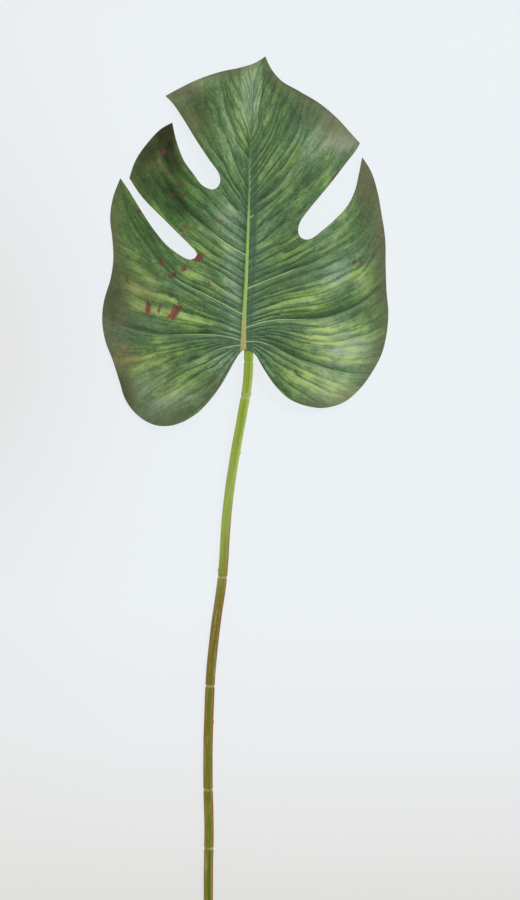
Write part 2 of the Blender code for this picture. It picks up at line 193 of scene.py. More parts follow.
# Lines of the veins on each side, from the foot to the tip, as (number, points from the midrib outwards past
# the margin). A main vein's number ends in a half, and the others run along the slits and between the veins
LEFT_LINES = [
    (0.0, [(-2.5, -0.5), (-9, -8), (-16, -20.5), (-34.5, -48), (-57.5, -66.5), (-95, -88), (-145, -112)]),
    (0.5, [(-2.5, 4), (-16, 2.8), (-43, -7), (-72, -20), (-93, -33.5), (-116, -50), (-145, -72)]),
    (1.5, [(-2.3, 8), (-20, 12.6), (-37, 14.1), (-72, 14.1), (-102, 18.6), (-119, 24.3), (-145, 37)]),
    (2.0, [(-1.8, 20), (-35, 32), (-60, 42), (-90, 53), (-112, 64), (-145, 85)]),
    (2.3, [(-1.6, 27), (-35, 43), (-62, 58.5), (-84, 69.5), (-105, 79), (-122, 90), (-145, 108)]),
    (2.42, [(-1.55, 30), (-35, 47.3), (-65, 64), (-84, 78.5), (-102, 92), (-122, 108), (-145, 130)]),
    (2.5, [
        (-1.5, 32), (-35, 49.8), (-67, 67.4), (-82, 84), (-93, 98.7), (-106, 117), (-114, 138), (-145, 215),
    ]),
    (3.0, [
        (0, 59.5), (-20, 72.3), (-45.5, 87.5), (-61.5, 98), (-84, 119.5), (-99.5, 139), (-110, 157),
        (-145, 225),
    ]),
    (3.5, [
        (1, 87), (-27.6, 105.3), (-42, 118.3), (-54, 128.6), (-65, 142), (-76, 157), (-90, 185), (-145, 300),
    ]),
    (4.0, [
        (2, 124), (-11, 139), (-24.3, 154.5), (-39, 170), (-49, 183), (-57.5, 196), (-70, 225), (-145, 400),
    ]),
    (4.25, [(2.7, 136), (-10, 158), (-23.6, 184), (-36, 204), (-44.5, 218.8), (-54, 241.8), (-145, 460)]),
    (4.5, [(4.2, 178), (-8.6, 200.4), (-16.7, 221.3), (-20.7, 235.3), (-24.5, 256), (-145, 800)]),
    (5.0, [(5.3, 204), (-1, 231), (-6.5, 248), (-11, 262), (-145, 900)]),
    (5.5, [(6.7, 237), (5, 300), (-145, 1200)]),
]
RIGHT_LINES = [
    (10.0, [(-2.5, -0.5), (2, 0), (8, -4), (16.5, -18), (28.5, -35), (40, -45.5), (60, -60), (150, -110)]),
    (10.5, [
        (-2.2, 7), (11.2, 7.4), (24.2, 3.5), (47.7, -7.5), (63.3, -12.8), (83, -19), (115, -22), (150, -16),
    ]),
    (11.5, [
        (-1.7, 19.5), (11.2, 24.4), (24.2, 27.2), (55, 28.3), (76.4, 31.2), (102.5, 41.4), (122, 54.4),
        (150, 82),
    ]),
    (12.5, [
        (0, 56), (17.7, 63.5), (37.2, 71.3), (68.6, 84.3), (96, 98.8), (109, 109.2), (119, 132), (150, 215),
    ]),
    (13.0, [(1, 82), (20, 91), (48.8, 107.5), (60, 116.5), (83.5, 141), (94, 154), (106, 180), (150, 280)]),
    (13.25, [(2, 106), (19.8, 122), (40, 140), (60, 160), (77.7, 180), (88, 196), (97, 210), (150, 330)]),
    (13.5, [(2.8, 128), (19.8, 143.5), (36, 160), (49.9, 179.5), (59.1, 198), (68.4, 214.2), (150, 420)]),
    (14.0, [(3.2, 152), (13, 166), (23, 181), (32.5, 198), (40.6, 212), (46.4, 227), (52, 244), (150, 560)]),
    (14.5, [(3.5, 176), (14, 193.4), (23.3, 209.6), (28.5, 226), (34, 245), (150, 700)]),
    (15.0, [(5.5, 205), (11, 222), (16, 240), (21, 260), (150, 900)]),
    (15.5, [(6.7, 237), (19, 300), (150, 1200)]),
]

# For each main vein: how far along it is pale, where the painted shade of its fold starts and ends, and how
# dark that is. Then the length over which that painted shade comes in, and how far before and past its end it
# goes
VEIN_REACH = {
    0: (42, 10, 70, 0.4), 1: (76, 15, 128, 1.0), 2: (84, 20, 150, 0.8), 3: (50, 0, 105, 1.1),
    4: (0, 5, 70, 0.35), 5: (0, 0, 1, 0.0), 10: (38, 8, 112, 0.9), 11: (66, 25, 132, 1.2),
    12: (62, 0, 95, 0.7), 13: (0, 5, 65, 0.7), 14: (0, 5, 40, 0.3), 15: (0, 0, 1, 0.0),
}
FOLD_SHADE_RISE = 25
FOLD_SHADE_FADE = 25
FOLD_SHADE_TAIL = 12

# Soft tints, each as (x, y, half length, half width, turn in degrees, strength). Yellow, brown and orange are
# colours of the print, and light makes places lighter
YELLOW = [
    (-110, 91, 10, 4, 140, 1.0), (-99, 76, 11, 4, 150, 1.0), (-93, 65, 11, 3.5, -20, 1.0),
    (-92, 53, 34, 5, -18, 1.2), (-66, 32, 36, 6, -13, 1.2), (-45, 66, 20, 7, -28, 0.6),
    (-70, 158, 26, 10, -40, 0.35), (-20, 92, 22, 10, -30, 0.4), (-46, 95, 12, 6, 0, 0.4),
    (-48, 112, 12, 3, -30, 0.4), (-80, -5, 28, 5, 5, 0.8), (-88, -14, 16, 3, 15, 0.7),
    (-58, -30, 22, 6, 45, 0.5), (-80, -40, 18, 8, 40, 0.4), (50, 49, 30, 4, 16, 1.0), (50, 37, 26, 3, 6, 0.8),
    (105, 72, 12, 6, 35, 0.8), (113, 57, 12, 6, 60, 0.8), (72, 20, 26, 3, -18, 0.8), (78, 8, 28, 3, -15, 0.9),
    (85, -8, 28, 4, -2, 1.0), (105, 20, 16, 4, -10, 0.8), (60, -25, 24, 5, -40, 0.6),
    (78, -36, 26, 8, -20, 0.6), (12, 198, 16, 4, 65, 0.4), (45, 178, 16, 5, 60, 0.6),
    (45, 152, 26, 5, 38, 0.2), (30, 88, 16, 5, 20, 0.6), (25, 98, 14, 4, 15, 0.5),
    (-5, 225, 30, 10, 95, 0.15),
]
LIGHT = [
    (85, 4, 34, 26, 0, 1.7), (78, -34, 34, 14, -18, 1.85), (84, 66, 24, 15, 32, 1.3),
    (108, 63, 18, 11, 60, 1.1), (48, 44, 32, 7, 12, 0.7), (-12, 203, 34, 6, 109, 0.3),
    (88, 194, 18, 12, 0, 1.6), (-42, 249, 20, 7, 20, 1.2), (-62, 238, 16, 8, 20, 0.6),
    (-52, -12, 20, 10, 15, 0.7), (66, 200, 24, 12, 55, 0.5), (-20, 104, 24, 9, -30, 0.5),
    (-45, 67, 20, 7, -25, 0.7), (-17, 186, 18, 7, 115, 0.5), (-84, 50, 32, 5, -18, 0.6),
    (-68, 33, 32, 6, -14, 1.0), (-88, 64, 14, 5, -15, 0.7), (-108, 90, 11, 6, 140, 0.6),
    (-70, -43, 28, 13, 18, 1.4), (-90, -42, 20, 12, 0, 0.5), (62, 92, 16, 12, 20, 0.4),
    (-90, -5, 20, 7, 5, 0.4), (52, 172, 26, 8, 50, 0.7), (-15, 70, 60, 9, 97, 0.7),
    (-20, 122, 18, 14, 120, 0.9), (80, 122, 20, 14, 50, 0.7), (82, 90, 18, 14, 30, 0.8),
    (50, -36, 22, 8, -40, 0.6), (15, 155, 16, 8, 50, 0.4), (80, 56, 22, 12, 20, 0.5),
    (-52, 90, 14, 12, 0, 0.5), (-86, -28, 26, 26, 0, 0.9), (-28, -14, 18, 10, 30, 0.7),
    (-20, -8, 20, 10, 30, 0.9),
]
# Pale grey tints, partly painted sheen on the bulges
PALE = [
    (2, 240, 34, 7, 88, 0.4), (-14, 200, 34, 5, 109, 0.5), (-16, 124, 18, 8, 120, 0.7),
    (90, 194, 18, 12, 10, 1.3), (-72, 88, 30, 10, -30, 0.5), (-86, 22, 20, 8, -10, 0.6),
    (64, 194, 26, 14, 50, 0.9), (85, 75, 16, 12, 45, 0.6), (72, 100, 12, 6, 45, 0.6),
    (-80, -60, 30, 12, 5, 1.0), (-106, -48, 18, 10, 45, 0.8), (-119, 14, 20, 14, 60, 1.3),
    (-52, -50, 16, 10, 40, 0.7), (-72, 66, 12, 6, -30, 0.5), (-12, 75, 50, 5, 97, 0.6),
    (-100, 245, 20, 10, 25, 0.5), (80, -46, 34, 9, 0, 0.6), (98, -12, 28, 22, 0, 0.9),
    (-100, 16, 24, 8, -5, 0.5), (8, 30, 40, 5, 90, 0.5), (-60, 236, 22, 9, 25, 0.9),
    (-26, 224, 30, 14, 112, 0.5),
]
# Dark tints, partly painted shade, the deepest on the finger lobe
SHADE = [
    (-74, 202, 18, 14, 50, 1.0), (-90, 184, 24, 13, 55, 0.75), (-99, 168, 15, 11, 60, 0.55),
    (-72, 193, 21, 7, 97, 1.1), (-70, 176, 22, 9, 115, 0.9), (-72, 150, 26, 12, -38, 0.7),
    (-60, 133, 26, 6, -38, 0.8), (-84, 148, 20, 12, -50, 0.5), (-126, 42, 20, 8, 95, 0.4),
    (-113, -38, 22, 8, 112, 0.5), (40, 66, 34, 7, 18, 0.3), (-40, 222, 26, 10, 112, 0.5),
    (26, 246, 16, 6, 115, 0.4), (55, 238, 26, 8, -32, 0.35), (-36, -22, 24, 7, 35, 0.25),
    (-95, 118, 30, 6, 128, 0.25), (84, 35, 24, 4, 14, 0.4), (48, 156, 22, 12, 45, 0.2),
    (48, 222, 20, 14, -30, 0.4), (-100, 176, 12, 14, 60, 0.3), (-84, 160, 24, 14, -45, 0.5),
    (-66, 142, 28, 6, -43, 1.0), (-73, 134, 22, 7, -42, 0.6), (-90, 77, 10, 4, -30, 0.35),
    (-90, 155, 20, 10, -45, 0.6), (114, 138, 38, 12, 100, 0.35), (-122, 56, 24, 10, 95, 0.35),
]
BROWN = [
    (-62, 236, 26, 16, 20, 0.85), (-52, 217, 26, 11, 122, 0.7), (-25, 256, 26, 6, 12, 0.6),
    (86, 206, 30, 17, -45, 0.9), (50, 240, 32, 7, -32, 0.6), (126, 95, 64, 8, 94, 0.9),
    (114, 156, 34, 16, 105, 1.1), (118, 70, 70, 14, 93, 0.35), (-128, 52, 44, 26, 95, 1.0),
    (-128, -4, 24, 12, 100, 0.5), (-82, -58, 42, 20, 0, 0.6), (-120, 10, 16, 14, 70, 0.6),
    (-38, -44, 32, 9, 50, 0.5), (82, -48, 42, 12, 5, 0.35), (120, -8, 40, 9, 70, 0.6),
    (-124, 112, 46, 9, 92, 0.7), (-90, 178, 36, 20, 55, 0.6), (-113, -34, 34, 11, 112, 1.1),
    (95, -40, 26, 8, 25, 0.5), (-92, 56, 24, 16, 90, 0.5), (-88, -26, 26, 28, 0, 0.35),
]
ORANGE = [
    (-113, 1, 8, 4.5, -10, 0.7), (-107.5, -8.5, 9, 3.2, -5, 0.95), (-106.5, -16.5, 7, 3, -10, 0.6),
    (-112, -6, 14, 14, 0, 0.6), (-93, 175, 6, 3, 90, 0.55), (-80, 175, 9, 3, 110, 0.55),
    (-101, 58, 13, 3.5, -22, 0.55), (-108, 64, 9, 5, -30, 0.3),
]
TINTS = {"yellow": YELLOW, "light": LIGHT, "pale": PALE, "shade": SHADE, "brown": BROWN, "orange": ORANGE}

# The numbers stored on the blade's mesh for its print
BLADE_MARKS = (
    "row", "along", "room", "fine", "fine_room", "across", "rib", "pale_reach", "fold", "edge", "hem", "top",
    *TINTS,
)

# Red flecks of the print, each as (x, y, half length, half width, turn in degrees, strength)
FLECKS = [
    (-76.7, 184.1, 2.5, 2.2, 0, 0.8), (-72.1, 165.1, 2.4, 1.7, 70, 0.5), (-60.9, 159.5, 2.4, 1.4, 0, 0.5),
    (-61.4, 153.9, 2.5, 1.8, 30, 0.65), (-58.6, 143.2, 2.9, 1.9, 0, 0.6), (-67, 144.6, 2.6, 1.9, 0, 0.4),
    (-53, 128.3, 2.0, 1.4, 0, 0.3), (-24.6, 119, 3.6, 1.4, 0, 0.5), (-55.8, 114.4, 3.2, 1.6, -20, 0.7),
    (-60.5, 110.2, 1.9, 1.2, 0, 0.65), (-57.2, 105.1, 1.9, 1.2, 0, 0.4), (-100, 129.7, 2.6, 1.6, 110, 0.7),
    (-86, 104.2, 1.8, 1.3, 90, 0.4), (-79, 81.8, 4.4, 1.6, 100, 0.7), (-44.2, 85.6, 4.8, 3.2, 20, 1.0),
    (-57.2, 75.3, 2.8, 2.2, 60, 0.8), (-67.4, 69.8, 3.0, 2.2, 60, 0.8), (-74.9, 69.8, 1.8, 1.3, 90, 0.5),
    (-110.7, 66, 3.2, 1.1, 105, 0.7), (-119.5, 54.4, 3.0, 1.2, 90, 0.5), (-91.1, 39.1, 6.4, 1.9, 90, 1.0),
    (-80.4, 38.1, 4.8, 1.1, 80, 0.8), (-65.1, 36.3, 7.4, 3.4, 57, 1.0), (-83.7, 27, 2.4, 0.9, 90, 0.4),
    (-34.4, 60.9, 2.4, 1.0, 90, 0.6), (-52.1, 240, 2.3, 1.9, 90, 0.5), (86.5, 105.1, 2.6, 2.3, 0, 0.4),
    (122.3, 106, 1.6, 1.5, 0, 0.7), (111.6, 108.8, 1.2, 1.1, 0, 0.4), (100.4, 81.4, 2.0, 1.4, 90, 0.8),
    (107, 81.8, 1.6, 1.3, 90, 0.8), (83.6, 162, 5.6, 1.1, 52, 0.8),
]
BRIGHT_FLECKS = [
    (-91.1, 36.2, 3.6, 1.2, 90, 0.8), (-69.6, 31.4, 3.0, 1.5, 35, 0.9), (-80.8, 35.5, 2.2, 0.7, 80, 0.6),
    (-76.7, 184, 1.2, 1.0, 0, 0.25), (-45.5, 84.3, 2.0, 1.2, 30, 0.5), (-61.4, 152.9, 1.4, 1.0, 0, 0.2),
    (-57.6, 73.6, 1.3, 1.0, 60, 0.5), (-78.4, 80, 1.6, 0.8, 100, 0.5),
]

# How soft and how wandering a fleck's rim is, and its printed half sizes as shares of those given here
FLECK_SOFTNESS = 0.6
FLECK_WANDER = 1.4
FLECK_GROWTH = (1.1, 1.15)

# Short pale starts of veins on the midrib, in the same form
STUBS = [(5.3, 123.4, 2.2, 0.6, 33, 0.9)]

# The stem from its cut end to the end of the rib under the blade: its radius at both, how far it stays below
# the blade, and its centre line seen from above
STEM_END = -527.5
STEM_RADIUS = 4.4
RIB_END = 236.0
RIB_END_RADIUS = 0.9
GAP = 0.3
STEM_ROUTE = [
    (-35, STEM_END), (-35, -488), (-34.5, -448), (-35.5, -387), (-34.5, -337.5), (-32.5, -296.5),
    (-29.5, -267), (-22, -211), (-17.5, -149), (-10, -96), (-3, -57.5), (1.5, -29), (2.5, -0.5), (1, 30),
    (0.5, 60), (1.5, 97.5), (3, 143), (3.7, 181), (5.6, 206), (6.7, RIB_END),
]

# Places up the leaf where it starts to rise, to lose its small forms and to taper, and those of its joints
STEM_LIES_FLAT_TO = -330.0
FREE_STEM_TO = -6.0
TAPER_FROM = -20.0
TAPER_POWER = 0.8
STEM_RINGS = [-11, -44, -211, -312.5, -409, -463.5]

# Pale rings of the stem, as (place up the leaf, strength on its left, strength on its right, length)
RING_PAINT = [
    (-11, 0.1, 0.05, 1.0), (-43, 0.4, 0.8, 2.6), (-211, 0.8, 0.7, 0.9), (-312.5, 0.9, 0.8, 1.1),
    (-409, 1.0, 0.4, 1.1), (-463.5, 0.4, 0.8, 1.1),
]

# Pale scuffs on the stem, as (place up the leaf, place from its left edge at -1 to its right at 1, length,
# width, strength), and the line of painted shade in its channel, strongest by the cut end
SCUFFS = [
    (-252, -0.22, 20, 0.09, 0.7), (-378, -0.7, 14, 0.16, 0.5), (-480, -0.55, 6, 0.2, 0.6),
    (-300, 0.75, 10, 0.15, 0.5), (-130, 0.1, 26, 0.3, 0.4), (-36, 0.75, 6, 0.25, 0.6),
]
CHANNEL_SHADE_FROM = -450.0
CHANNEL_SHADE_PLACE = 0.2

# Form of the stem in shares of its radius: the waist and the lips of a joint with their lengths, how far down
# its flat underside lies, and the channel along its top
RING_DEPTH = 0.15
RING_LENGTH = 1.3
RING_LIP = 0.035
RING_LIP_LENGTH = 3.4
PROFILE_FLOOR = 0.92
CHANNEL_DEPTH = 0.10
CHANNEL_WIDTH = 0.5

# Flutes, as (height, how many go round, sway, turn for each millimetre), and the length of a sway
FLUTES = [(0.006, 9, 0.4, 0), (0.004, 17, 0, 1 / 90)]
SWAY_LENGTH = 40

# Unevenness: a swelling with the lengths of its two waves and how far it leans round the stem, and a ripple
SWELLING = 0.012
SWELLING_LENGTHS = (13, 31)
SWELLING_LEAN = 1.3
RIPPLE = 0.008
RIPPLE_LENGTH = 5.3
RIPPLE_LEAN = 2

# Small knobs on the stem, as (place up the leaf, side it is on, height, length), and how narrow they are
KNOBS = [(-95, 1, 0.7, 3.0), (-346, 1, 0.5, 3.2), (-205, -1, 0.7, 3.0), (-41, 1, 0.5, 5.0)]
KNOB_POWER = 3

# Rings of points on the stem: the step between them, a finer one within reach of a joint, and their sides
STEM_STEP = 1.4
STEM_FINE_STEP = 0.35
STEM_FINE_REACH = 5.0
STEM_SIDES = 60

# Points read from a smooth curve: on each stretch of it, on a vein, on a lobe's side, and on a whole route
STRETCH_SAMPLES = 24
LINE_SAMPLES = 400
SIDE_SAMPLES = 61
ROUTE_SAMPLES = 2000

# Steps at which the slopes of the lines' numbers are read, the least slope that counts, and how far below the
# last line's number the highest one stays
SLOPE_STEP = 0.2
FINE_STEP = SLOPE_STEP / 10
LEAST_SLOPE = 1e-3
JUST_BELOW = 1e-4

# How many parts the points are taken in where their distances are worked out, and the angle of a sharp edge
DISTANCE_PARTS = 40
SHARP_ANGLE = 50

# The camera looks straight down at the picture's middle, and a pixel has its size at the scale's height
PIXEL = 0.93
PICTURE_HEIGHT = 900
PICTURE_MIDDLE = (13.0, -93.0)
CAMERA_HEIGHT = 5000.0
SCALE_HEIGHT = 7.0
FILM = 36.0

# The surface below: its size, how far it lies under the leaf, how much light it gives back, and its painted
# glow, which lights it from within
FLOOR_SIZE = 9000.0
FLOOR_DROP = 0.05
FLOOR_SHADE = 0.07
FLOOR_GLOW = 0.92

# The light of the room, and a lamp with its place and size in metres and its power in watts
ROOM_LIGHT = 0.64
LAMP_PLACE = (1.8, 2.2, 4.2)
LAMP_SIZE = 2.0
LAMP_POWER = 125

# Colours, each as (share of the way, red, green, blue): the greens of the print from dark to light, cool and
# warm, the midrib's from the foot to the tip, and the surface's painted light from the picture's foot to its
# top
COOL_GREENS = [
    (0.0, 42, 66, 45), (0.25, 64, 93, 65), (0.5, 90, 120, 85), (0.75, 126, 150, 119), (1.0, 164, 181, 155),
]
WARM_GREENS = [
    (0.0, 40, 62, 28), (0.25, 63, 91, 43), (0.5, 90, 122, 62), (0.75, 129, 157, 82), (1.0, 174, 195, 120),
]
MIDRIB_TONES = [
    (0.0, 176, 158, 106), (0.06, 172, 164, 102), (0.12, 160, 176, 92), (0.3, 150, 184, 88),
    (0.43, 138, 172, 88), (0.5, 112, 144, 90), (0.8, 100, 130, 84),
]
PAINTED_FLOOR_FALLOFF = [
    (0.07, 223, 223, 220), (0.12, 229, 229, 228), (0.2, 234, 236, 238), (0.3, 236, 241, 245),
    (0.75, 236, 241, 245), (1.0, 231, 234, 236),
]

# Tones of the stem
LEAF_GREEN = (130, 156, 42)
FRESH_GREEN = (146, 166, 70)
PALE_GREEN = (160, 179, 68)
CREAM_GREEN = (179, 190, 100)
DULL_OLIVE = (102, 113, 18)
BROWN_OLIVE = (114, 98, 32)
LIGHT_OLIVE = (134, 121, 42)
ORANGE_BROWN = (132, 103, 30)
TAN = (152, 110, 56)
RED_BROWN = (137, 79, 34)
KHAKI = (148, 136, 62)

# How they follow each other from the blade's foot at 0 to the cut end at 1: in the stem's middle, in a band
# on each side of it, and on its rims
STEM_MIDDLE = [(0.0, *LEAF_GREEN), (0.3, *FRESH_GREEN), (0.47, *BROWN_OLIVE), (0.68, *DULL_OLIVE)]
LEFT_BAND = [(0.34, *PALE_GREEN), (0.44, *LIGHT_OLIVE), (0.6, *ORANGE_BROWN), (0.9, *LIGHT_OLIVE)]
RIGHT_BAND = [(0.25, *PALE_GREEN), (0.45, *ORANGE_BROWN), (0.7, *ORANGE_BROWN), (0.9, *LIGHT_OLIVE)]
LEFT_RIM = [(0.37, *CREAM_GREEN), (0.45, *TAN), (0.75, *TAN), (0.9, *KHAKI)]
RIGHT_RIM = [(0.23, *CREAM_GREEN), (0.31, *TAN), (0.44, *RED_BROWN), (0.8, *RED_BROWN), (1.0, *TAN)]

# The order in which they go over each other, as (where each starts, where it is full, its tones). Places
# across the stem run from -1 at its left edge to 1 at its right
STEM_BANDS = [
    (-0.22, -0.6, LEFT_BAND), (0.3, 0.62, RIGHT_BAND), (-0.74, -0.94, LEFT_RIM), (0.68, 0.9, RIGHT_RIM),
]


def cubic(u, start, leave, end, arrive):
    """A cubic curve from start to end as u goes from 0 to 1, which leaves and arrives at the given slopes."""
    curve = (2 * u**3 - 3 * u**2 + 1) * start + (u**3 - 2 * u**2 + u) * leave
    return curve + (3 * u**2 - 2 * u**3) * end + (u**3 - u**2) * arrive


def path(points, shares):
    """Points at the given shares of the length of one smooth curve through the given points.

    Each stretch is a cubic whose end slopes are those of a parabola through three neighbouring points.
    """
    p = np.array(points, float)
    length = np.linalg.norm(np.diff(p, axis=0), axis=1)[:, None]
    slope = np.diff(p, axis=0) / length
    tangent = np.empty_like(p)
    tangent[1:-1] = (slope[1:] * length[:-1] + slope[:-1] * length[1:]) / (length[1:] + length[:-1])
    tangent[0] = 1.5 * slope[0] - 0.5 * tangent[1]
    tangent[-1] = 1.5 * slope[-1] - 0.5 * tangent[-2]
    u = np.linspace(0, 1, STRETCH_SAMPLES, endpoint=False)[None, :, None]
    leave, arrive = tangent[:-1] * length, tangent[1:] * length
    curve = cubic(u, p[:-1, None], leave[:, None], p[1:, None], arrive[:, None])
    curve = np.vstack([curve.reshape(-1, 2), p[-1:]])
    run = np.concatenate([[0], np.cumsum(np.linalg.norm(np.diff(curve, axis=0), axis=1))])
    return np.stack([np.interp(shares, run / run[-1], curve[:, axis]) for axis in (0, 1)], -1)


def between(at, value, x):
    """The value at x of smooth curves through (at, value) points, which never swing past them.

    The first axis of at and value runs over the points, so each x has its own curve. A curve's slope at a
    point is the harmonic mean of the slopes on its two sides.
    """
    width = np.diff(at, axis=0)
    slope = np.diff(value, axis=0) / width
    product, total = slope[1:] * slope[:-1], slope[1:] + slope[:-1]
    mean = np.where(product > 0, 2 * product / np.where(product > 0, total, 1), 0)
    tangent = np.concatenate([slope[:1], mean, slope[-1:]])
    stretch = (at[1:-1] <= x).sum(axis=0)[None]

    def pick(values, ahead=0):
        """Each x's value at the start of its stretch, or some points ahead of it."""
        return np.take_along_axis(values, stretch + ahead, axis=0)[0]

    u, span = (x - pick(at)) / pick(width), pick(width)
    return cubic(u, pick(value), span * pick(tangent), pick(value, 1), span * pick(tangent, 1))


def steady(pairs, x):
    """The value at x of one smooth curve through (x, value) pairs."""
    x = np.asarray(x, float)
    shape = (len(pairs),) + (1,) * x.ndim
    at, value = (np.reshape(column, shape) * np.ones_like(x) for column in zip(*pairs))
    return between(at, value, x)


def smooth_step(low, high, x):
    """0 up to low, 1 from high on, and an S between them."""
    u = np.clip((x - low) / (high - low), 0, 1)
    return u * u * (3 - 2 * u)


def bump(x, width):
    """exp(-(x / width) squared): 1 at zero and gone two widths from it."""
    return np.exp(-((x / width) ** 2))


MIDRIB_CURVE = path(MIDRIB, np.linspace(0, 1, ROUTE_SAMPLES))


def midrib(y):
    """Points of the midrib at the given places up the leaf."""
    y = np.asarray(y, float)
    return np.stack([np.interp(y, MIDRIB_CURVE[:, 1], MIDRIB_CURVE[:, 0]), y], -1)


def bowed(inner, outer, bow, hand, t):
    """Straight rows from the midrib to the margin, each bent towards the foot by a parabola of depth bow."""
    chord = outer - inner
    across = np.stack([chord[..., 1], -chord[..., 0]], -1) * hand
    return inner + chord * t + across * bow * 4 * t * (1 - t)


def free_side(edge):
    """A lobe's side that is free all the way, such as beside the stem."""
    return lambda t: path(edge, t)


def slit_side(start, edge, hand):
    """A lobe's side that is joined to its neighbour up to the slit's bottom, and free beyond it."""

    def side(t):
        """A bowed row up to the slit's bottom, and the slit's own edge beyond it."""
        before = np.minimum(t / SLIT_START, 1)[:, None]
        joined = bowed(midrib(start), np.array(edge[0]), ROW_BOW[start], hand, before)
        free = path(edge, np.clip((t - SLIT_START) / (1 - SLIT_START), 0, 1))
        return np.where(t[:, None] < SLIT_START, joined, free)

    return side


def tip_side(t):
    """The side of the two top lobes where they meet: the end of the midrib itself."""
    return midrib(ROWS_END + (TIP - ROWS_END) * t)


# For each lobe: the hand it is on, its margin, its lower and upper sides with where each gets free, and its
# rows as (start of the row on the midrib, share of the margin where it ends)
LOBES = [
    {
        "hand": -1,
        "margin": LEFT_LOBE_MARGIN,
        "lower": (free_side(SINUS_LEFT), 0),
        "upper": (slit_side(LOW_SLIT, LOW_SLIT_LOWER, -1), SLIT_START),
        "rows": [(FOOT, 0), (4, 0.28), (10, 0.5), (35, 0.87), (LOW_SLIT, 1)],
    },
    {
        "hand": -1,
        "margin": FINGER_MARGIN,
        "lower": (slit_side(LOW_SLIT, LOW_SLIT_UPPER, -1), SLIT_START),
        "upper": (slit_side(HIGH_SLIT, HIGH_SLIT_LOWER, -1), SLIT_START),
        "rows": [(LOW_SLIT, 0), (88, 0.46), (HIGH_SLIT, 1)],
    },
    {
        "hand": -1,
        "margin": LEFT_TOP_MARGIN,
        "lower": (slit_side(HIGH_SLIT, HIGH_SLIT_UPPER, -1), SLIT_START),
        "upper": (tip_side, None),
        "rows": [(HIGH_SLIT, 0), (187, 0.54), (ROWS_END, 1)],
    },
    {
        "hand": 1,
        "margin": RIGHT_LOBE_MARGIN,
        "lower": (free_side(SINUS_RIGHT), 0),
        "upper": (slit_side(RIGHT_SLIT, RIGHT_SLIT_LOWER, 1), SLIT_START),
        "rows": [(FOOT, 0), (7, 0.31), (21, 0.63), (57, 0.86), (RIGHT_SLIT, 1)],
    },
    {
        "hand": 1,
        "margin": RIGHT_TOP_MARGIN,
        "lower": (slit_side(RIGHT_SLIT, RIGHT_SLIT_UPPER, 1), SLIT_START),
        "upper": (tip_side, None),
        "rows": [(RIGHT_SLIT, 0), (HIGH_SLIT, 0.13), (156, 0.41), (187, 0.73), (ROWS_END, 1)],
    },
]


def departure(side, inner, outer, bow, hand, t):
    """How far a side lies from its bowed row: a broad sweep of three humps, and the sharp rest of it.

    The humps are v, v squared and v cubed, each times 1 - v, in the shares that fit the side best.
    """
    even = np.linspace(0, 1, SIDE_SAMPLES)

    def humps(v):
        """The three humps at the shares v of the row."""
        return np.stack([v * (1 - v), v**2 * (1 - v), v**3 * (1 - v)], -1)

    def whole(v):
        """The whole departure at the shares v of the row."""
        return side(v) - bowed(inner, outer, bow, hand, v[:, None])

    share = np.linalg.lstsq(humps(even), whole(even), rcond=None)[0]
    return humps(t) @ share, whole(t) - humps(t) @ share


def lobe_rows(lobe, starts, t):
    """Flat points of a lobe: one row of points for each start on the midrib.

    The rows are bowed lines from the midrib to the margin. At the lobe's two sides they follow its real edge,
    and that departure fades inwards, the broad sweep slowly and the turn at a slit's bottom in a few rows.
    """
    hand, margin, rows = lobe["hand"], lobe["margin"], lobe["rows"]
    first, last = rows[0][0], rows[-1][0]
    share = steady(rows, starts)
    along, across = share[:, None, None], t[None, :, None]
    low_bow, high_bow = ROW_BOW[first], ROW_BOW[last]
    inner, outer = midrib(starts)[:, None], path(margin, share)[:, None]
    grid = bowed(inner, outer, low_bow + (high_bow - low_bow) * along, hand, across)
    corners = midrib([first, last]), path(margin, [0, 1])
    sides = ((lobe["lower"][0], 0, low_bow, 1 - along), (lobe["upper"][0], 1, high_bow, along))
    for side, end, bow, near in sides:
        sweep, turn = departure(side, corners[0][end], corners[1][end], bow, hand, t)
        grid = grid + near**SWEEP_POWER * sweep + near**TURN_POWER * turn
    return grid


def underside(flat, t, number):
    """Height of the blade's underside: its arch over the surface, its waves, the creases and the midrib.

    The arch falls from the spine by a power of the distance from the midrib. The waves are sines of the angle
    round the blade's middle that grow with the square of that distance. The bulges between the creases are
    the rounded size of a cosine of the line's number, calmer towards the margin, where t, the share of the
    row, comes to 1.
    """
    x, y = flat[..., 0], flat[..., 1]
    from_midrib = np.abs(x - midrib(y)[..., 0])
    arch = steady(SPINE, y) - SIDE_FALL * (from_midrib / HALF_WIDTH) ** FALL_POWER
    angle = np.arctan2(y - WAVE_CENTRE, x)
    wave = sum(height * np.sin(count * angle + turn) for height, count, turn in WAVES)
    wave = wave * (from_midrib / HALF_WIDTH) ** 2
    fullness = smooth_step(0, BULGE_RISE, from_midrib) * (1 - MARGIN_CALM * smooth_step(CALM_FROM, 1, t))
    rounded = np.sqrt(np.cos(math.pi * number) ** 2 + CREASE_ROUNDING**2) - CREASE_ROUNDING
    ridge = MIDRIB_RIDGE * bump(from_midrib, MIDRIB_HALF_WIDTH)
    ridge = ridge * (1 - smooth_step(RIDGE_FADES_FROM, TIP, y))
    return np.maximum(arch + wave + BULGE * fullness * rounded + ridge, 0)


def columns():
    """Shares of a row at which it has a point: close together at the midrib, even past the slits' bottoms."""
    inner = SLIT_START * np.linspace(0, 1, COLUMNS_BEFORE_SLITS + 1) ** COLUMN_POWER
    outer = np.linspace(SLIT_START, 1, COLUMNS_ALONG_SLITS + 1)
    return np.concatenate([inner[:-1], outer])


def row_starts(first, last):
    """Starts of the rows from one place on the midrib to another, the same on both sides of it."""
    starts = [FOOT]
    for (low, _), (high, rows) in zip(ROW_STARTS, ROW_STARTS[1:]):
        starts.extend(low + (high - low) * (row + 1) / rows for row in range(rows))
    starts = np.array(starts)
    return starts[(starts > first - TOUCH) & (starts < last + TOUCH)]


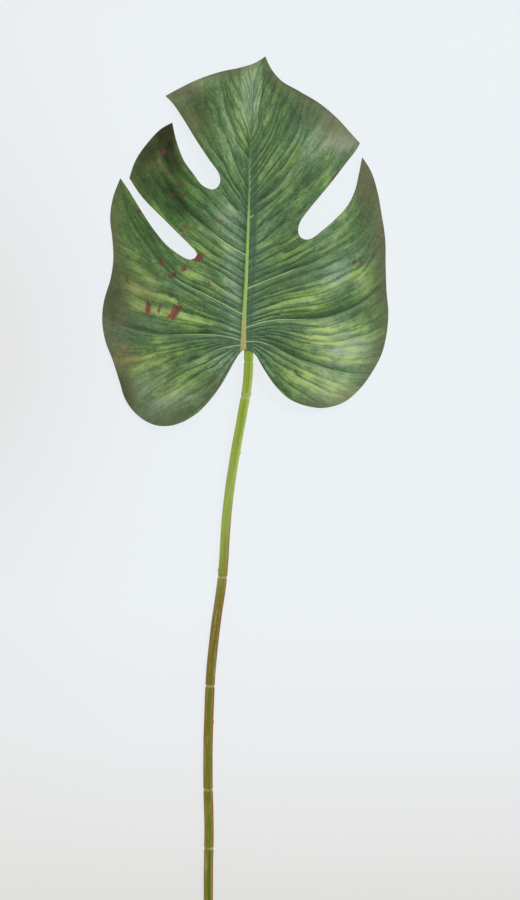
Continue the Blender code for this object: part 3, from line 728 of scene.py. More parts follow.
def side_lines(lines):
    """The lines of one side as heights over the distance out from the midrib."""
    sampled = []
    for number, points in lines:
        curve = path(points, np.linspace(0, 1, LINE_SAMPLES))
        out = np.abs(curve[:, 0] - midrib(curve[:, 1])[:, 0])
        out[0] = 0
        sampled.append((number, np.maximum.accumulate(out), curve[:, 1]))
    return sampled


LINES = {-1: side_lines(LEFT_LINES), 1: side_lines(RIGHT_LINES)}


def line_number(hand, x, y):
    """The number of the line through each point of a side.

    At the point's distance from the midrib each numbered line has a height, and the point's own number lies
    between those of the lines above and below it, on a smooth curve through (height, number).
    """
    out = np.abs(x - midrib(y)[..., 0])
    heights = np.stack([np.interp(out, reach, height) for _, reach, height in LINES[hand]])
    numbers = np.array([number for number, _, _ in LINES[hand]]).reshape((-1,) + (1,) * out.ndim)
    numbers = numbers * np.ones_like(heights)
    return np.clip(between(heights, numbers, y), numbers[0], numbers[-1] - JUST_BELOW)


def fine_number(number):
    """The number of fine veins up to each line, their spacing made uneven by sines between the main veins."""
    count = np.interp(number, *zip(*FINE_COUNT))
    uneven = sum(size * np.sin(pace * count + turn) for size, pace, turn in FINE_UNEVEN)
    return count + uneven * np.cos(math.pi * number) ** 2


def print_marks(lobe, flat):
    """What the print follows at each point of a lobe: its line, its place along it, and its veins.

    The room of a line is the distance that one whole number takes up, square to the line: one over the length
    of the slope of the numbers.
    """
    hand = lobe["hand"]
    x, y = flat[..., 0], flat[..., 1]
    number = line_number(hand, x, y)
    out_slope = (line_number(hand, x + hand * SLOPE_STEP, y) - number) / SLOPE_STEP
    up_slope = (line_number(hand, x, y + SLOPE_STEP) - number) / SLOPE_STEP
    room = 1 / np.maximum(np.hypot(out_slope, up_slope), LEAST_SLOPE)
    crowding = (fine_number(number + FINE_STEP) - fine_number(number)) / FINE_STEP
    start = midrib(steady([(line, height[0]) for line, _, height in LINES[hand]], number))
    along = np.hypot(x - start[..., 0], y - start[..., 1])
    across = x - midrib(y)[..., 0]
    reach = np.array([VEIN_REACH.get(vein, (0, 0, 0, 0)) for vein in range(max(VEIN_REACH) + 1)])
    pale_reach, fold_shade_start, fold_shade_end, fold_shade_strength = np.moveaxis(reach[np.floor(number).astype(int)], -1, 0)
    # Strength of the painted shade of the fold along the vein
    fold = smooth_step(fold_shade_start, fold_shade_start + FOLD_SHADE_RISE, along)
    fold = fold * (1 - smooth_step(fold_shade_end - FOLD_SHADE_FADE, fold_shade_end + FOLD_SHADE_TAIL, along))
    return {
        "row": number,
        "along": along,
        "room": room,
        "fine": fine_number(number),
        "fine_room": room / np.maximum(crowding, 1),
        "across": across,
        "rib": across / steady(RIB_PRINT, y),
        "pale_reach": pale_reach,
        "fold": fold * fold_shade_strength,
    }


def tint(spots, flat):
    """Strength of a tint: its strongest soft turned ellipse, exp(-(distance in half sizes) squared)."""
    total = np.zeros(flat.shape[:-1])
    for x, y, length, width, turn, strength in spots:
        c, s = math.cos(math.radians(turn)), math.sin(math.radians(turn))
        u = ((flat[..., 0] - x) * c + (flat[..., 1] - y) * s) / length
        v = ((flat[..., 1] - y) * c - (flat[..., 0] - x) * s) / width
        total = np.maximum(total, strength * np.exp(-(u**2 + v**2)))
    return total


def distance_to(edge, flat):
    """Distance of each point from the nearest of the edge's points, worked out a few thousand at a time."""
    parts = np.array_split(flat.reshape(-1, 2), DISTANCE_PARTS)
    near = [np.sqrt(((part[:, None] - edge[None]) ** 2).sum(-1).min(1)) for part in parts]
    return np.concatenate(near).reshape(flat.shape[:-1])


def relief(marks):
    """Height of the pressed veins: soft bulges between grooves at the fine veins, and the raised pale veins.

    A bulge is half of one plus a cosine of the fine veins' number, and grooves and raised veins are bumps.
    """
    from_fine = np.abs(marks["fine"] % 1 - 0.5) * marks["fine_room"]
    from_main = np.abs(marks["row"] % 1 - 0.5) * marks["room"]
    from_midrib = np.abs(marks["across"])
    bulge = FINE_BULGE * (1 + np.cos(2 * math.pi * marks["fine"])) / 2
    groove = -FINE_GROOVE * bump(from_fine, FINE_GROOVE_HALF_WIDTH)
    clear = smooth_step(*FINE_ROOM, marks["fine_room"]) * smooth_step(*FINE_FROM_EDGE, marks["edge"])
    clear = clear * smooth_step(*FINE_FROM_MIDRIB, from_midrib)
    pale_end = marks["pale_reach"]
    pale = 1 - smooth_step(RAISED_FULL_TO * pale_end, pale_end + TOUCH, marks["along"])
    rise = smooth_step(*RAISED_FROM_MIDRIB, from_midrib) * smooth_step(*RAISED_ROOM, marks["room"])
    return clear * (bulge + groove) + RAISED_VEIN * pale * rise * bump(from_main, RAISED_VEIN_HALF_WIDTH)


def cells(rows, count, hand):
    """Corners of the cells of a grid of points, counter-clockwise seen from above on either hand."""
    first = (np.arange(rows - 1)[:, None] * count + np.arange(count - 1)).ravel()
    ring = [first, first + 1, first + count + 1, first + count]
    return np.stack(ring if hand > 0 else ring[::-1], -1)


def free_runs(index, lobe, t):
    """Runs of a lobe's points along its free edge, each with the way round that it goes.

    The first is its margin, and the others are its sides past a slit's bottom.
    """
    runs = [(index[:, -1], lobe["hand"] > 0)]
    for row, (_, free_from), ahead in ((0, lobe["lower"], True), (-1, lobe["upper"], False)):
        if free_from is not None:
            runs.append((index[row, np.searchsorted(t, free_from):], ahead == (lobe["hand"] > 0)))
    return runs


def rim(top, low, ahead):
    """Faces of the cut edge along one run: each joins two steps of the top face to one of the underside."""
    ring = [low[:-1], low[1:], top[2::2], top[1::2], top[:-2:2]]
    return np.stack(ring if ahead else ring[::-1], -1)


def blade_mesh():
    """The blade as one closed sheet: a fine grid above, every second point of it below, and the cut edge."""
    t = columns()
    lobes, edges, hems = [], [], []
    for lobe in LOBES:
        starts = row_starts(lobe["rows"][0][0], lobe["rows"][-1][0])
        flat = lobe_rows(lobe, starts, t)
        top = np.arange(len(starts) * len(t)).reshape(-1, len(t))
        free = free_runs(top, lobe, t)
        runs = [flat.reshape(-1, 2)[run] for run, _ in free]
        lobes.append((lobe, flat, top, free))
        edges += runs
        hems.append(runs[0])

    points, faces, marks, start = [], [], {}, 0
    for lobe, flat, top, free in lobes:
        here = print_marks(lobe, flat)
        here["edge"] = distance_to(np.concatenate(edges), flat)
        here["hem"] = distance_to(np.concatenate(hems), flat)
        for name, spots in TINTS.items():
            here[name] = tint(spots, flat)
        height = np.maximum(underside(flat, t[None, :], here["row"]) + relief(here), 0)
        points.append(np.concatenate([flat, (height + SHEET)[..., None]], -1).reshape(-1, 3))
        points.append(np.concatenate([flat, height[..., None]], -1)[::2, ::2].reshape(-1, 3))

        rows, count = height[::2, ::2].shape
        low = start + top.size + np.arange(rows * count).reshape(rows, count)
        faces += (start + cells(*top.shape, lobe["hand"])).tolist()
        faces += (low[0, 0] + cells(rows, count, -lobe["hand"])).tolist()
        for (run, ahead), (low_run, _) in zip(free, free_runs(low, lobe, t[::2])):
            faces += rim(start + run, low_run, ahead).tolist()
        for name, values in here.items():
            marks.setdefault(name, []).extend([values.ravel(), values[::2, ::2].ravel()])
        marks.setdefault("top", []).extend([np.ones(top.size), np.zeros(low.size)])
        start = low.max() + 1
    return np.concatenate(points), faces, {name: np.concatenate(parts) for name, parts in marks.items()}


def make_piece(name, points, faces, marks, weld=0.0):
    """A smooth mesh piece at its place in the frame, with each mark stored on the corners of its faces."""
    data = bpy.data.meshes.new(name)
    place = np.array([FOOT_PLACE[0], FOOT_PLACE[1], 0])
    data.from_pydata(((points + place) * MM).tolist(), [], faces)
    corner = np.empty(len(data.loops), np.int32)
    data.loops.foreach_get("vertex_index", corner)
    for mark, values in marks.items():
        stored = data.attributes.new(mark, "FLOAT", "CORNER")
        stored.data.foreach_set("value", values[corner].astype(np.float32))
    if weld:
        mesh = bmesh.new()
        mesh.from_mesh(data)
        bmesh.ops.remove_doubles(mesh, verts=mesh.verts, dist=weld * MM)
        mesh.to_mesh(data)
        mesh.free()
    data.shade_smooth()
    data.set_sharp_from_angle(angle=math.radians(SHARP_ANGLE))
    piece = bpy.data.objects.new(name, data)
    bpy.context.scene.collection.objects.link(piece)
    return piece


def stem_places():
    """Places up the leaf of the stem's rings of points, closer together at each of its joints."""
    even = np.arange(STEM_END, RIB_END, STEM_STEP)
    joints = np.array(STEM_RINGS)
    clear = np.abs(even[:, None] - joints[None, :]).min(axis=1) > STEM_FINE_REACH
    near = (joints[:, None] + np.arange(-STEM_FINE_REACH, STEM_FINE_REACH, STEM_FINE_STEP)).ravel()
    return np.unique(np.round(np.concatenate([even[clear], near, [STEM_END, RIB_END]]), 4))


def stem_radius(y):
    """The stem's plain radius, and its swell at the joints as a share of it.

    The radius is even along the free stem and tapers to the rib's end. A joint is a waist between two lips: a
    narrow bump is taken away from a wider and lower one.
    """
    taper = smooth_step(TAPER_FROM, RIB_END, y) ** TAPER_POWER
    radius = STEM_RADIUS + (RIB_END_RADIUS - STEM_RADIUS) * taper
    waist = sum(bump(y - joint, RING_LENGTH) for joint in STEM_RINGS)
    lips = sum(bump(y - joint, RING_LIP_LENGTH) for joint in STEM_RINGS)
    return radius, 1 - RING_DEPTH * waist + RING_LIP * lips


def stem_line(y, radius):
    """Centres of the stem's rings along its route, with the directions to the right and out of its top there.

    The stem lies on the surface at its lower end, and comes up in an S to stay just under the blade.
    """
    route = path(STEM_ROUTE, np.linspace(0, 1, ROUTE_SAMPLES))
    x = np.interp(y, route[:, 1], route[:, 0])
    under_blade = underside(np.stack([x, np.maximum(y, FOOT)], -1), 0, CREASE) - GAP - radius
    rise = smooth_step(STEM_LIES_FLAT_TO, FOOT, y)
    centre = np.stack([x, y, PROFILE_FLOOR * radius * (1 - rise) + under_blade * rise], -1)
    ahead = np.gradient(centre, axis=0)
    ahead = ahead / np.linalg.norm(ahead, axis=1)[:, None]
    side = np.stack([ahead[:, 1], -ahead[:, 0], 0 * y], -1)
    side = side / np.linalg.norm(side, axis=1)[:, None]
    return centre, side, np.cross(side, ahead)


def stem_section(y, swell, angle):
    """The stem's radius at each angle round each ring, as a share of its plain radius.

    A bump across its top is taken away for the channel. The flutes are sines round it that sway or turn on
    their way up. Its unevenness is a swelling, the product of two slow sines, and a finer ripple. The knobs
    are bumps on one side. These small forms end where the blade begins.
    """
    c, s = np.cos(angle), np.sin(angle)
    channel = 1 - CHANNEL_DEPTH * bump(c, CHANNEL_WIDTH) * (s > 0)
    small = sum(
        height * np.sin(count * angle + sway * np.sin(y / SWAY_LENGTH) + y * turn)
        for height, count, sway, turn in FLUTES
    )
    short, long = SWELLING_LENGTHS
    small = small + SWELLING * np.sin(y / short + SWELLING_LEAN * c) * np.sin(y / long)
    small = small + RIPPLE * np.sin(y / RIPPLE_LENGTH + RIPPLE_LEAN * s)
    for place, hand, height, length in KNOBS:
        on_side = np.maximum(hand * c, 0) ** KNOB_POWER
        small = small + height / STEM_RADIUS * bump(y - place, length / 2) * on_side
    free = 1 - smooth_step(FREE_STEM_TO, FOOT, y)
    return channel * (swell + free * small)


def stem_mesh():
    """The stem as rings of points along its route, each ring its section at the radius there, flat below."""
    y = stem_places()
    plain, swell = stem_radius(y)
    centre, side, up = stem_line(y, plain)
    angle = (np.arange(STEM_SIDES) * 2 * math.pi / STEM_SIDES)[None]
    c, s = np.cos(angle), np.sin(angle)
    place, plain = y[:, None], plain[:, None]
    radius = plain * stem_section(place, swell[:, None], angle)
    out, above = c * radius, np.maximum(s * radius, -PROFILE_FLOOR * plain)
    points = centre[:, None] + side[:, None] * out[..., None] + up[:, None] * above[..., None]
    points[..., 2] = np.maximum(points[..., 2], 0)

    rings, count = radius.shape
    first = np.arange((rings - 1) * count).reshape(-1, count)
    after = np.roll(first, -1, axis=1)
    faces = np.stack([first + count, after + count, after, first], -1).reshape(-1, 4).tolist()
    faces += [list(range(count)), list(range((rings - 1) * count, rings * count))[::-1]]
    marks = {"left_to_right": c, "upward": s, "place": place}
    marks = {name: np.broadcast_to(values, radius.shape).ravel() for name, values in marks.items()}
    return points.reshape(-1, 3), faces, marks


def paint(red, green, blue):
    """A colour as a picture shows it, 0 to 255, turned into light by the curve of standard screens."""
    values = np.array([red, green, blue]) / 255
    light = np.where(values <= 0.04045, values / 12.92, ((values + 0.055) / 1.055) ** 2.4)
    return (*light.tolist(), 1.0)


class Wire:
    """A number flowing between the nodes of a finish: arithmetic on it adds Math nodes."""

    def __init__(self, finish, socket):
        self.finish = finish
        self.socket = socket

    def __add__(self, other):
        return self.finish.math("ADD", self, other)

    def __radd__(self, other):
        return self.finish.math("ADD", other, self)

    def __sub__(self, other):
        return self.finish.math("SUBTRACT", self, other)

    def __rsub__(self, other):
        return self.finish.math("SUBTRACT", other, self)

    def __mul__(self, other):
        return self.finish.math("MULTIPLY", self, other)

    def __rmul__(self, other):
        return self.finish.math("MULTIPLY", other, self)

    def __truediv__(self, other):
        return self.finish.math("DIVIDE", self, other)

    def __rpow__(self, other):
        return self.finish.math("POWER", other, self)

    def __abs__(self):
        return self.finish.math("ABSOLUTE", self)

    def whole(self):
        """The whole number at or below it."""
        return self.finish.math("FLOOR", self)

    def fraction(self):
        """What is left of it above that whole number."""
        return self.finish.math("FRACT", self)

    def log(self, base):
        """The power of the base that it is."""
        return self.finish.math("LOGARITHM", self, base)

    def at_least(self, other):
        """The larger of the two."""
        return self.finish.math("MAXIMUM", self, other)

    def at_most(self, other):
        """The smaller of the two."""
        return self.finish.math("MINIMUM", self, other)

    def bell(self, width):
        """exp(-(value / width) squared)."""
        scaled = self / width
        return self.finish.math("EXPONENT", scaled * scaled * -1)

    def ease(self, low, high):
        """0 at low and 1 at high, eased between them and held beyond."""
        inputs = {"Value": self, "From Min": low, "From Max": high}
        return self.finish.add("ShaderNodeMapRange", {"interpolation_type": "SMOOTHSTEP"}, inputs)


class Finish:
    """A material whose colour, roughness and bump are worked out by nodes."""

    def __init__(self, name):
        self.material = bpy.data.materials.new(name)
        self.material.use_nodes = True
        self.tree = self.material.node_tree
        self.shader = self.tree.nodes["Principled BSDF"]

    def add(self, kind, settings, inputs, output=0):
        """A node of a kind, with its settings made first and then the values or links of its inputs."""
        node = self.tree.nodes.new(kind)
        for name, value in settings.items():
            if name == "stops":
                self.set_stops(node.color_ramp, value)
            else:
                setattr(node, name, value)
        for name, value in inputs.items():
            self.feed(node.inputs[name], value)
        return Wire(self, node.outputs[output])

    def feed(self, socket, value):
        """Links a wire to a socket, or sets the socket's own value."""
        if isinstance(value, Wire):
            self.tree.links.new(value.socket, socket)
        else:
            socket.default_value = value

    def set_stops(self, ramp, stops):
        """Gives a colour ramp its stops, each (place, red, green, blue)."""
        while len(ramp.elements) < len(stops):
            ramp.elements.new(1)
        for element, (place, *colour) in zip(ramp.elements, stops):
            element.position = place
            element.color = paint(*colour)

    def set(self, **inputs):
        """Sets or links inputs of the surface shader, their names with _ for a space."""
        for name, value in inputs.items():
            self.feed(self.shader.inputs[name.replace("_", " ")], value)

    def math(self, operation, *values):
        """A Math node on numbers and wires."""
        return self.add("ShaderNodeMath", {"operation": operation}, dict(enumerate(values)))

    def mark(self, name):
        """A number stored on the mesh."""
        settings = {"attribute_name": name, "attribute_type": "GEOMETRY"}
        return self.add("ShaderNodeAttribute", settings, {}, "Fac")

    def leaf_place(self):
        """The leaf's own coordinates in millimetres."""
        place = self.add("ShaderNodeTexCoord", {}, {}, "Object")
        shift = (-FOOT_PLACE[0], -FOOT_PLACE[1], 0)
        return self.add("ShaderNodeMapping", {}, {"Vector": place, "Location": shift, "Scale": (1 / MM,) * 3})

    def axis(self, vector, name):
        """One of a vector's three numbers."""
        return self.add("ShaderNodeSeparateXYZ", {}, {"Vector": vector}, name)

    def vector(self, x, y, z=0.0):
        """A vector of three numbers."""
        return self.add("ShaderNodeCombineXYZ", {}, {"X": x, "Y": y, "Z": z})

    def noise(self, vector, scale=1.0, detail=2.0, roughness=0.5):
        """A soft noise round 0.5."""
        inputs = {"Vector": vector, "Scale": scale, "Detail": detail, "Roughness": roughness}
        return self.add("ShaderNodeTexNoise", {}, inputs, "Fac")

    def mix(self, share, colour, other, blend="MIX"):
        """One colour going over to another by a share."""
        settings = {"data_type": "RGBA", "blend_type": blend}
        return self.add("ShaderNodeMix", settings, {0: share, 6: colour, 7: other}, 2)

    def ramp(self, value, stops):
        """The colour of a table of stops at a value."""
        return self.add("ShaderNodeValToRGB", {"stops": stops}, {"Fac": value})

    def bump(self, height, distance, strength):
        """Small relief of the surface, from a height."""
        return self.add("ShaderNodeBump", {}, {"Height": height, "Distance": distance, "Strength": strength})


def strokes(f, p, width, length, seed):
    """Noise drawn out along the lines, with spots about this wide and long wherever the lines lie.

    Across the lines it is noise of the row times a power of two, which fades over to the next power as the
    room between the lines grows.
    """
    octave = (p.room / width).log(2.0)
    step = octave.whole()
    scaled = p.row * 2.0**step
    coarse = f.noise(f.vector(scaled, p.along / length, seed), detail=3)
    fine = f.noise(f.vector(scaled * 2, p.along / length, seed + 5), detail=3)
    return coarse + (fine - coarse) * (octave - step) - 0.5


def blade_print(f):
    """What the layers of the blade's print share: the marks of its mesh, strokes, clouds, cells and veins.

    A cell lies between two fine veins, has its own tone, and goes by painted shading from dark above one vein
    to light under the next. The distances from the nearest fine and main vein are below zero on the vein's
    foot side.
    """
    p = SimpleNamespace(**{name: f.mark(name) for name in BLADE_MARKS})
    p.place = f.leaf_place()
    p.x = f.axis(p.place, "X")
    p.y = f.axis(p.place, "Y")
    p.out = abs(p.across)
    p.near_rib = p.out.ease(40, 5) * p.y.ease(170, 90)

    p.broad = strokes(f, p, 9.0, 56.0, 0.0)
    p.middling = strokes(f, p, 3.6, 30.0, 2.0)
    p.hatch = strokes(f, p, 1.2, 14.0, 4.0)
    p.cloud = f.noise(p.place, scale=0.03, detail=4) - 0.5
    p.mottle = f.noise(p.place, scale=0.2, detail=4) - 0.5
    p.speckle = f.noise(p.place, scale=0.7, detail=3, roughness=0.7) - 0.5

    fine = p.fine + p.broad * 1.3 + p.middling * 0.6 + p.cloud * 0.5 + 0.5
    p.above = fine.fraction()
    p.cell = f.noise(f.vector((fine - p.above) * 3.17, p.along / 28, 9.0), detail=2) - 0.5
    p.from_fine = ((fine + 0.5).fraction() - 0.5) * p.fine_room
    p.from_main = (p.row.fraction() - 0.5) * p.room
    return p


def tones(p):
    """How calm the strokes are, how light they make the green, and how warm it is."""
    patch = p.yellow * (p.cell * 2.4 + p.middling * 1.4 + p.above.ease(0.0, 0.5) * 0.5 + 0.6)
    pale_sheen = p.pale * (p.broad * 1.2 + p.middling * 1.4 + 0.9)
    calm = (p.brown * 0.6 + p.shade * 0.6 + pale_sheen * 0.2).at_most(0.75)
    upper = p.y.ease(90, 170)

    # Cells between the fine veins, each with its own tone and painted shading from dark above one vein to
    # light under the next, and a lighter panel on the left of the midrib's upper end
    cell_shading_and_tone = (p.above.ease(-0.1, 0.7) - 0.6) * (p.light * 0.2 + 0.22) * (p.out.ease(100, 20) * 0.6 + 0.4)
    cell_shading_and_tone = (cell_shading_and_tone + p.cell * (p.light * 0.35 + 0.55)) * p.fine_room.ease(0.9, 2.8)
    panel_edge = (9.3 + (p.y - 205) * 0.152).at_most(15.2)
    panel = (panel_edge - p.x).ease(-0.6, 0.8) * p.across.ease(-20, -8) * p.y.ease(190, 225)
    light = p.light + panel * (p.middling + 1) * 1.3

    # Lightness, with painted sheen from the pale tints and painted shade from the shade tints, where what
    # comes close to white is held back
    tone = cell_shading_and_tone + p.broad * (0.55 - upper * 0.2) + p.middling * (0.75 - upper * 0.1)
    tone = 0.4 + (tone + p.hatch * (light * 0.35 + 0.75)) * (1 - calm)
    tone = tone + p.cloud * 0.3 + p.mottle * 0.4 + p.speckle * 0.7
    tone = tone + patch * 0.22 + light * 0.27 + pale_sheen * 0.06 - p.shade * 0.3
    tone = tone - (tone - 0.78).at_least(0.0) * 0.4

    # Warmth, less of it by the midrib and under the painted sheen
    warmth = (p.cloud * 1.1 + p.mottle * 0.8 + p.middling * 0.5 + p.cell * 0.6) * (1 - upper * 0.45)
    warmth = 0.6 + warmth + patch * 0.65 - pale_sheen * 0.5 + p.across.ease(-35, -75) * p.y.ease(40, 110) * 0.3
    warmth = warmth - p.near_rib * 0.4 - light * 0.12
    return calm, tone, warmth


def fine_veins_and_painted_shading(f, p, colour):
    """Dark vein lines, each with painted shade above and a painted highlight under it, thinning and breaking
    up outwards.
    """
    lively = (p.broad * 2.0 + p.middling * 2.0 + p.cell * 1.5 + p.cloud + 0.5).ease(0.2, 0.8)
    reach = p.out.ease(60, 10) * 0.42 + p.out.ease(120, 40) * 0.35 + 0.23
    reach = reach * (1 - p.y.ease(160, 215) * 0.5)
    shown = p.fine_room.ease(0.9, 2.8) * (1 - p.calm * 0.6)
    # The vein line itself, and a soft painted shadow just above it
    dark = p.from_fine.bell(0.55) * 0.8 + (p.from_fine - 1.0).bell(1.4) * 0.25
    colour = f.mix(dark * (lively + 0.25) * reach * shown, colour, paint(40, 68, 42))
    # A painted highlight under the vein, at its foot side
    light = (p.from_fine + 1.3).bell(0.7) * (p.hatch * 2.5 + 0.6) * (reach - 0.2) * 0.55
    return f.mix(light * shown, colour, f.mix(p.near_rib, paint(136, 162, 100), paint(116, 142, 116)))


def painted_fold_shading(f, p, colour):
    """Main veins' folds: a painted shadow over each, a grey painted highlight under it, also past its pale
    part.
    """
    fold_shading = p.fold * (p.broad + p.middling * 1.5 + 0.8)
    # A painted shadow on the fold above the vein
    shadow = (p.from_main - 0.8).bell(0.9) * 0.5 + (p.from_main - 3.0).bell(2.8) * 0.5
    colour = f.mix(shadow * fold_shading, colour, paint(42, 70, 38))
    # A grey painted highlight under the vein
    return f.mix((p.from_main + 1.4).bell(1.0) * fold_shading * 0.35, colour, paint(122, 148, 118))


def tints(f, p, colour):
    """The olive hem, the brown and orange tints, and the dark tints, partly painted shade on the finger lobe.
    """
    hem = (p.hem + p.mottle * 12 + p.middling * 6).ease(13.0, 0.0)
    colour = f.mix(hem * 0.4, colour, f.mix(p.warmth, paint(108, 108, 84), paint(96, 102, 60)))
    brown = p.brown * (p.middling * 0.6 + p.mottle * 0.6 + p.cloud + 0.95)
    colour = f.mix(brown * 0.85, colour, f.mix(p.tone, paint(72, 74, 44), paint(134, 128, 98)))
    rusty = p.orange * (p.mottle * 1.8 + p.middling + 0.95)
    colour = f.mix(rusty.ease(0.0, 1.3) * 0.8, colour, paint(158, 124, 76))
    # Dark tints, partly painted shade, olive at the finger lobe's tip and green lower down
    dark = (p.shade * (p.middling * 0.6 + p.broad * 0.4 + 1)).ease(0.05, 0.95)
    olive_dark = f.mix(p.tone, paint(24, 28, 4), paint(92, 92, 50))
    green_dark = f.mix(p.tone, paint(18, 40, 12), paint(76, 108, 54))
    return f.mix(dark * 0.92, colour, f.mix(p.y.ease(150, 190), green_dark, olive_dark))


def midrib_sides(f, p, colour):
    """A dark band to the right of the midrib, with broken pale lines in it, and a thin shadow to its left."""
    band = p.across.ease(1.0, 2.2) * p.across.ease(10.0, 6.5) * p.y.ease(-6, 3) * p.y.ease(238, 160)
    band_colour = f.mix(p.y.ease(20, 130), paint(60, 88, 68), paint(52, 82, 48))
    colour = f.mix(band * (p.middling * 1.5 + 0.62), colour, band_colour)
    dots = f.noise(f.vector(p.across * 0.5, p.y * 0.35), detail=3).ease(0.38, 0.62)
    lines = (p.across - 4.7).bell(0.45) * p.y.ease(110, 80) + (p.across - 7.8).bell(0.5)
    colour = f.mix(lines * dots * band.ease(0, 0.2) * 0.4, colour, paint(104, 134, 102))
    shadow = (p.across + 2.6).bell(1.3) * p.y.ease(0, 20) * p.y.ease(210, 150)
    return f.mix(shadow * 0.5, colour, paint(56, 84, 58))


def pale_veins(f, p, colour):
    """The pale starts of the main veins, which thin out on their way and are the palest in the left lobe."""
    thinning = (0.62 - 0.35 * p.along / (p.pale_reach + 1) + p.hatch * 0.5).at_least(0.15)
    vein = (abs(p.from_main) / thinning).ease(1.4, 0.5)
    vein = vein * (p.pale_reach - p.along).ease(0, 20) * p.pale_reach.ease(0, 1)
    vein_colour = f.mix(p.y.ease(5, 30), paint(158, 168, 112), paint(160, 190, 124))
    far_left = p.across.ease(-8, -30) * p.y.ease(55, 85)
    vein_colour = f.mix(far_left * 0.7, vein_colour, paint(184, 206, 162))
    return f.mix(vein * 0.92, colour, vein_colour)


def printed_midrib(f, p, colour):
    """The midrib with its grain, the stubs of veins on it, and the dark crown that it ends in."""
    grain = f.noise(f.vector(p.across * 1.2, p.y * 0.12), detail=3) - 0.5
    rib_colour = f.ramp(p.y / 300 + 0.02 + grain * 0.03, MIDRIB_TONES)
    rib_mask = (abs(p.rib) + grain * 0.5).ease(1.2, 0.75) * p.y.ease(300, 150)
    colour = f.mix(rib_mask, colour, rib_colour)
    colour = f.mix(fleck_mask(f, STUBS, p.place, p.mottle), colour, paint(146, 176, 96))
    crown = (p.across.bell(0.7) * 0.6 + (p.across - 1.2).bell(1.4) * 0.2) * p.y.ease(165, 195)
    return f.mix(crown, colour, paint(58, 88, 58))


def red_flecks(f, p, colour):
    """Dull red flecks, the largest with a brighter end."""
    wander = f.noise(p.place, scale=0.35, detail=3) - 0.5
    dull = fleck_mask(f, FLECKS, p.place, wander)
    dull_red = f.mix(wander.ease(-0.12, 0.12), paint(88, 46, 44), paint(124, 46, 54))
    colour = f.mix(dull.ease(0.0, 0.95) * 0.84, colour, dull_red)
    return f.mix(fleck_mask(f, BRIGHT_FLECKS, p.place, wander) * 0.8, colour, paint(178, 48, 58))


def fleck_mask(f, flecks, place, wander):
    """The strongest of some soft turned ellipses, their rims made uneven by a noise."""
    masks = []
    for x, y, length, width, turn, strength in flecks:
        inputs = {
            "Vector": place,
            "Location": (x, y, 0),
            "Rotation": (0, 0, math.radians(turn)),
            "Scale": (length * FLECK_GROWTH[0], width * FLECK_GROWTH[1], 1000),
        }
        inside = f.add("ShaderNodeMapping", {"vector_type": "TEXTURE"}, inputs)
        reach = f.add("ShaderNodeVectorMath", {"operation": "LENGTH"}, {0: inside}, "Value")
        masks.append((reach + wander * FLECK_WANDER).ease(1 + FLECK_SOFTNESS, 1 - FLECK_SOFTNESS) * strength)
    return reduce(Wire.at_least, masks)


def blade_finish():
    """The print of the blade in layers, some of them painted shade and highlight, with its cut edge, the
    sheet's grain, and a plain paler underside.
    """
    f = Finish("printed_blade_with_painted_shade")
    p = blade_print(f)
    p.calm, p.tone, p.warmth = tones(p)
    colour = f.mix(p.warmth.ease(0.0, 1.0), f.ramp(p.tone, COOL_GREENS), f.ramp(p.tone, WARM_GREENS))
    for layer in (fine_veins_and_painted_shading, painted_fold_shading, tints, midrib_sides, pale_veins, printed_midrib, red_flecks):
        colour = layer(f, p, colour)
    colour = f.mix(p.edge.ease(0.9, 0.2) * 0.6, colour, paint(84, 76, 48))
    grain = f.noise(p.place, scale=1.1, detail=3)
    colour = f.mix(0.25, colour, f.mix(grain, paint(0, 0, 0), paint(255, 255, 255)), "OVERLAY")
    back = f.mix(p.broad + 0.5, paint(96, 122, 84), paint(126, 148, 104))
    colour = f.mix(p.top, back, colour)
    weave = f.noise(p.place, scale=2.4, detail=1)
    f.set(Base_Color=colour, Roughness=0.52 + (grain - 0.5) * 0.16, Specular_IOR_Level=0.18)
    f.set(Normal=f.bump(weave * 0.6 + p.hatch * 0.6, 0.12 * MM, 0.5))
    return f.material


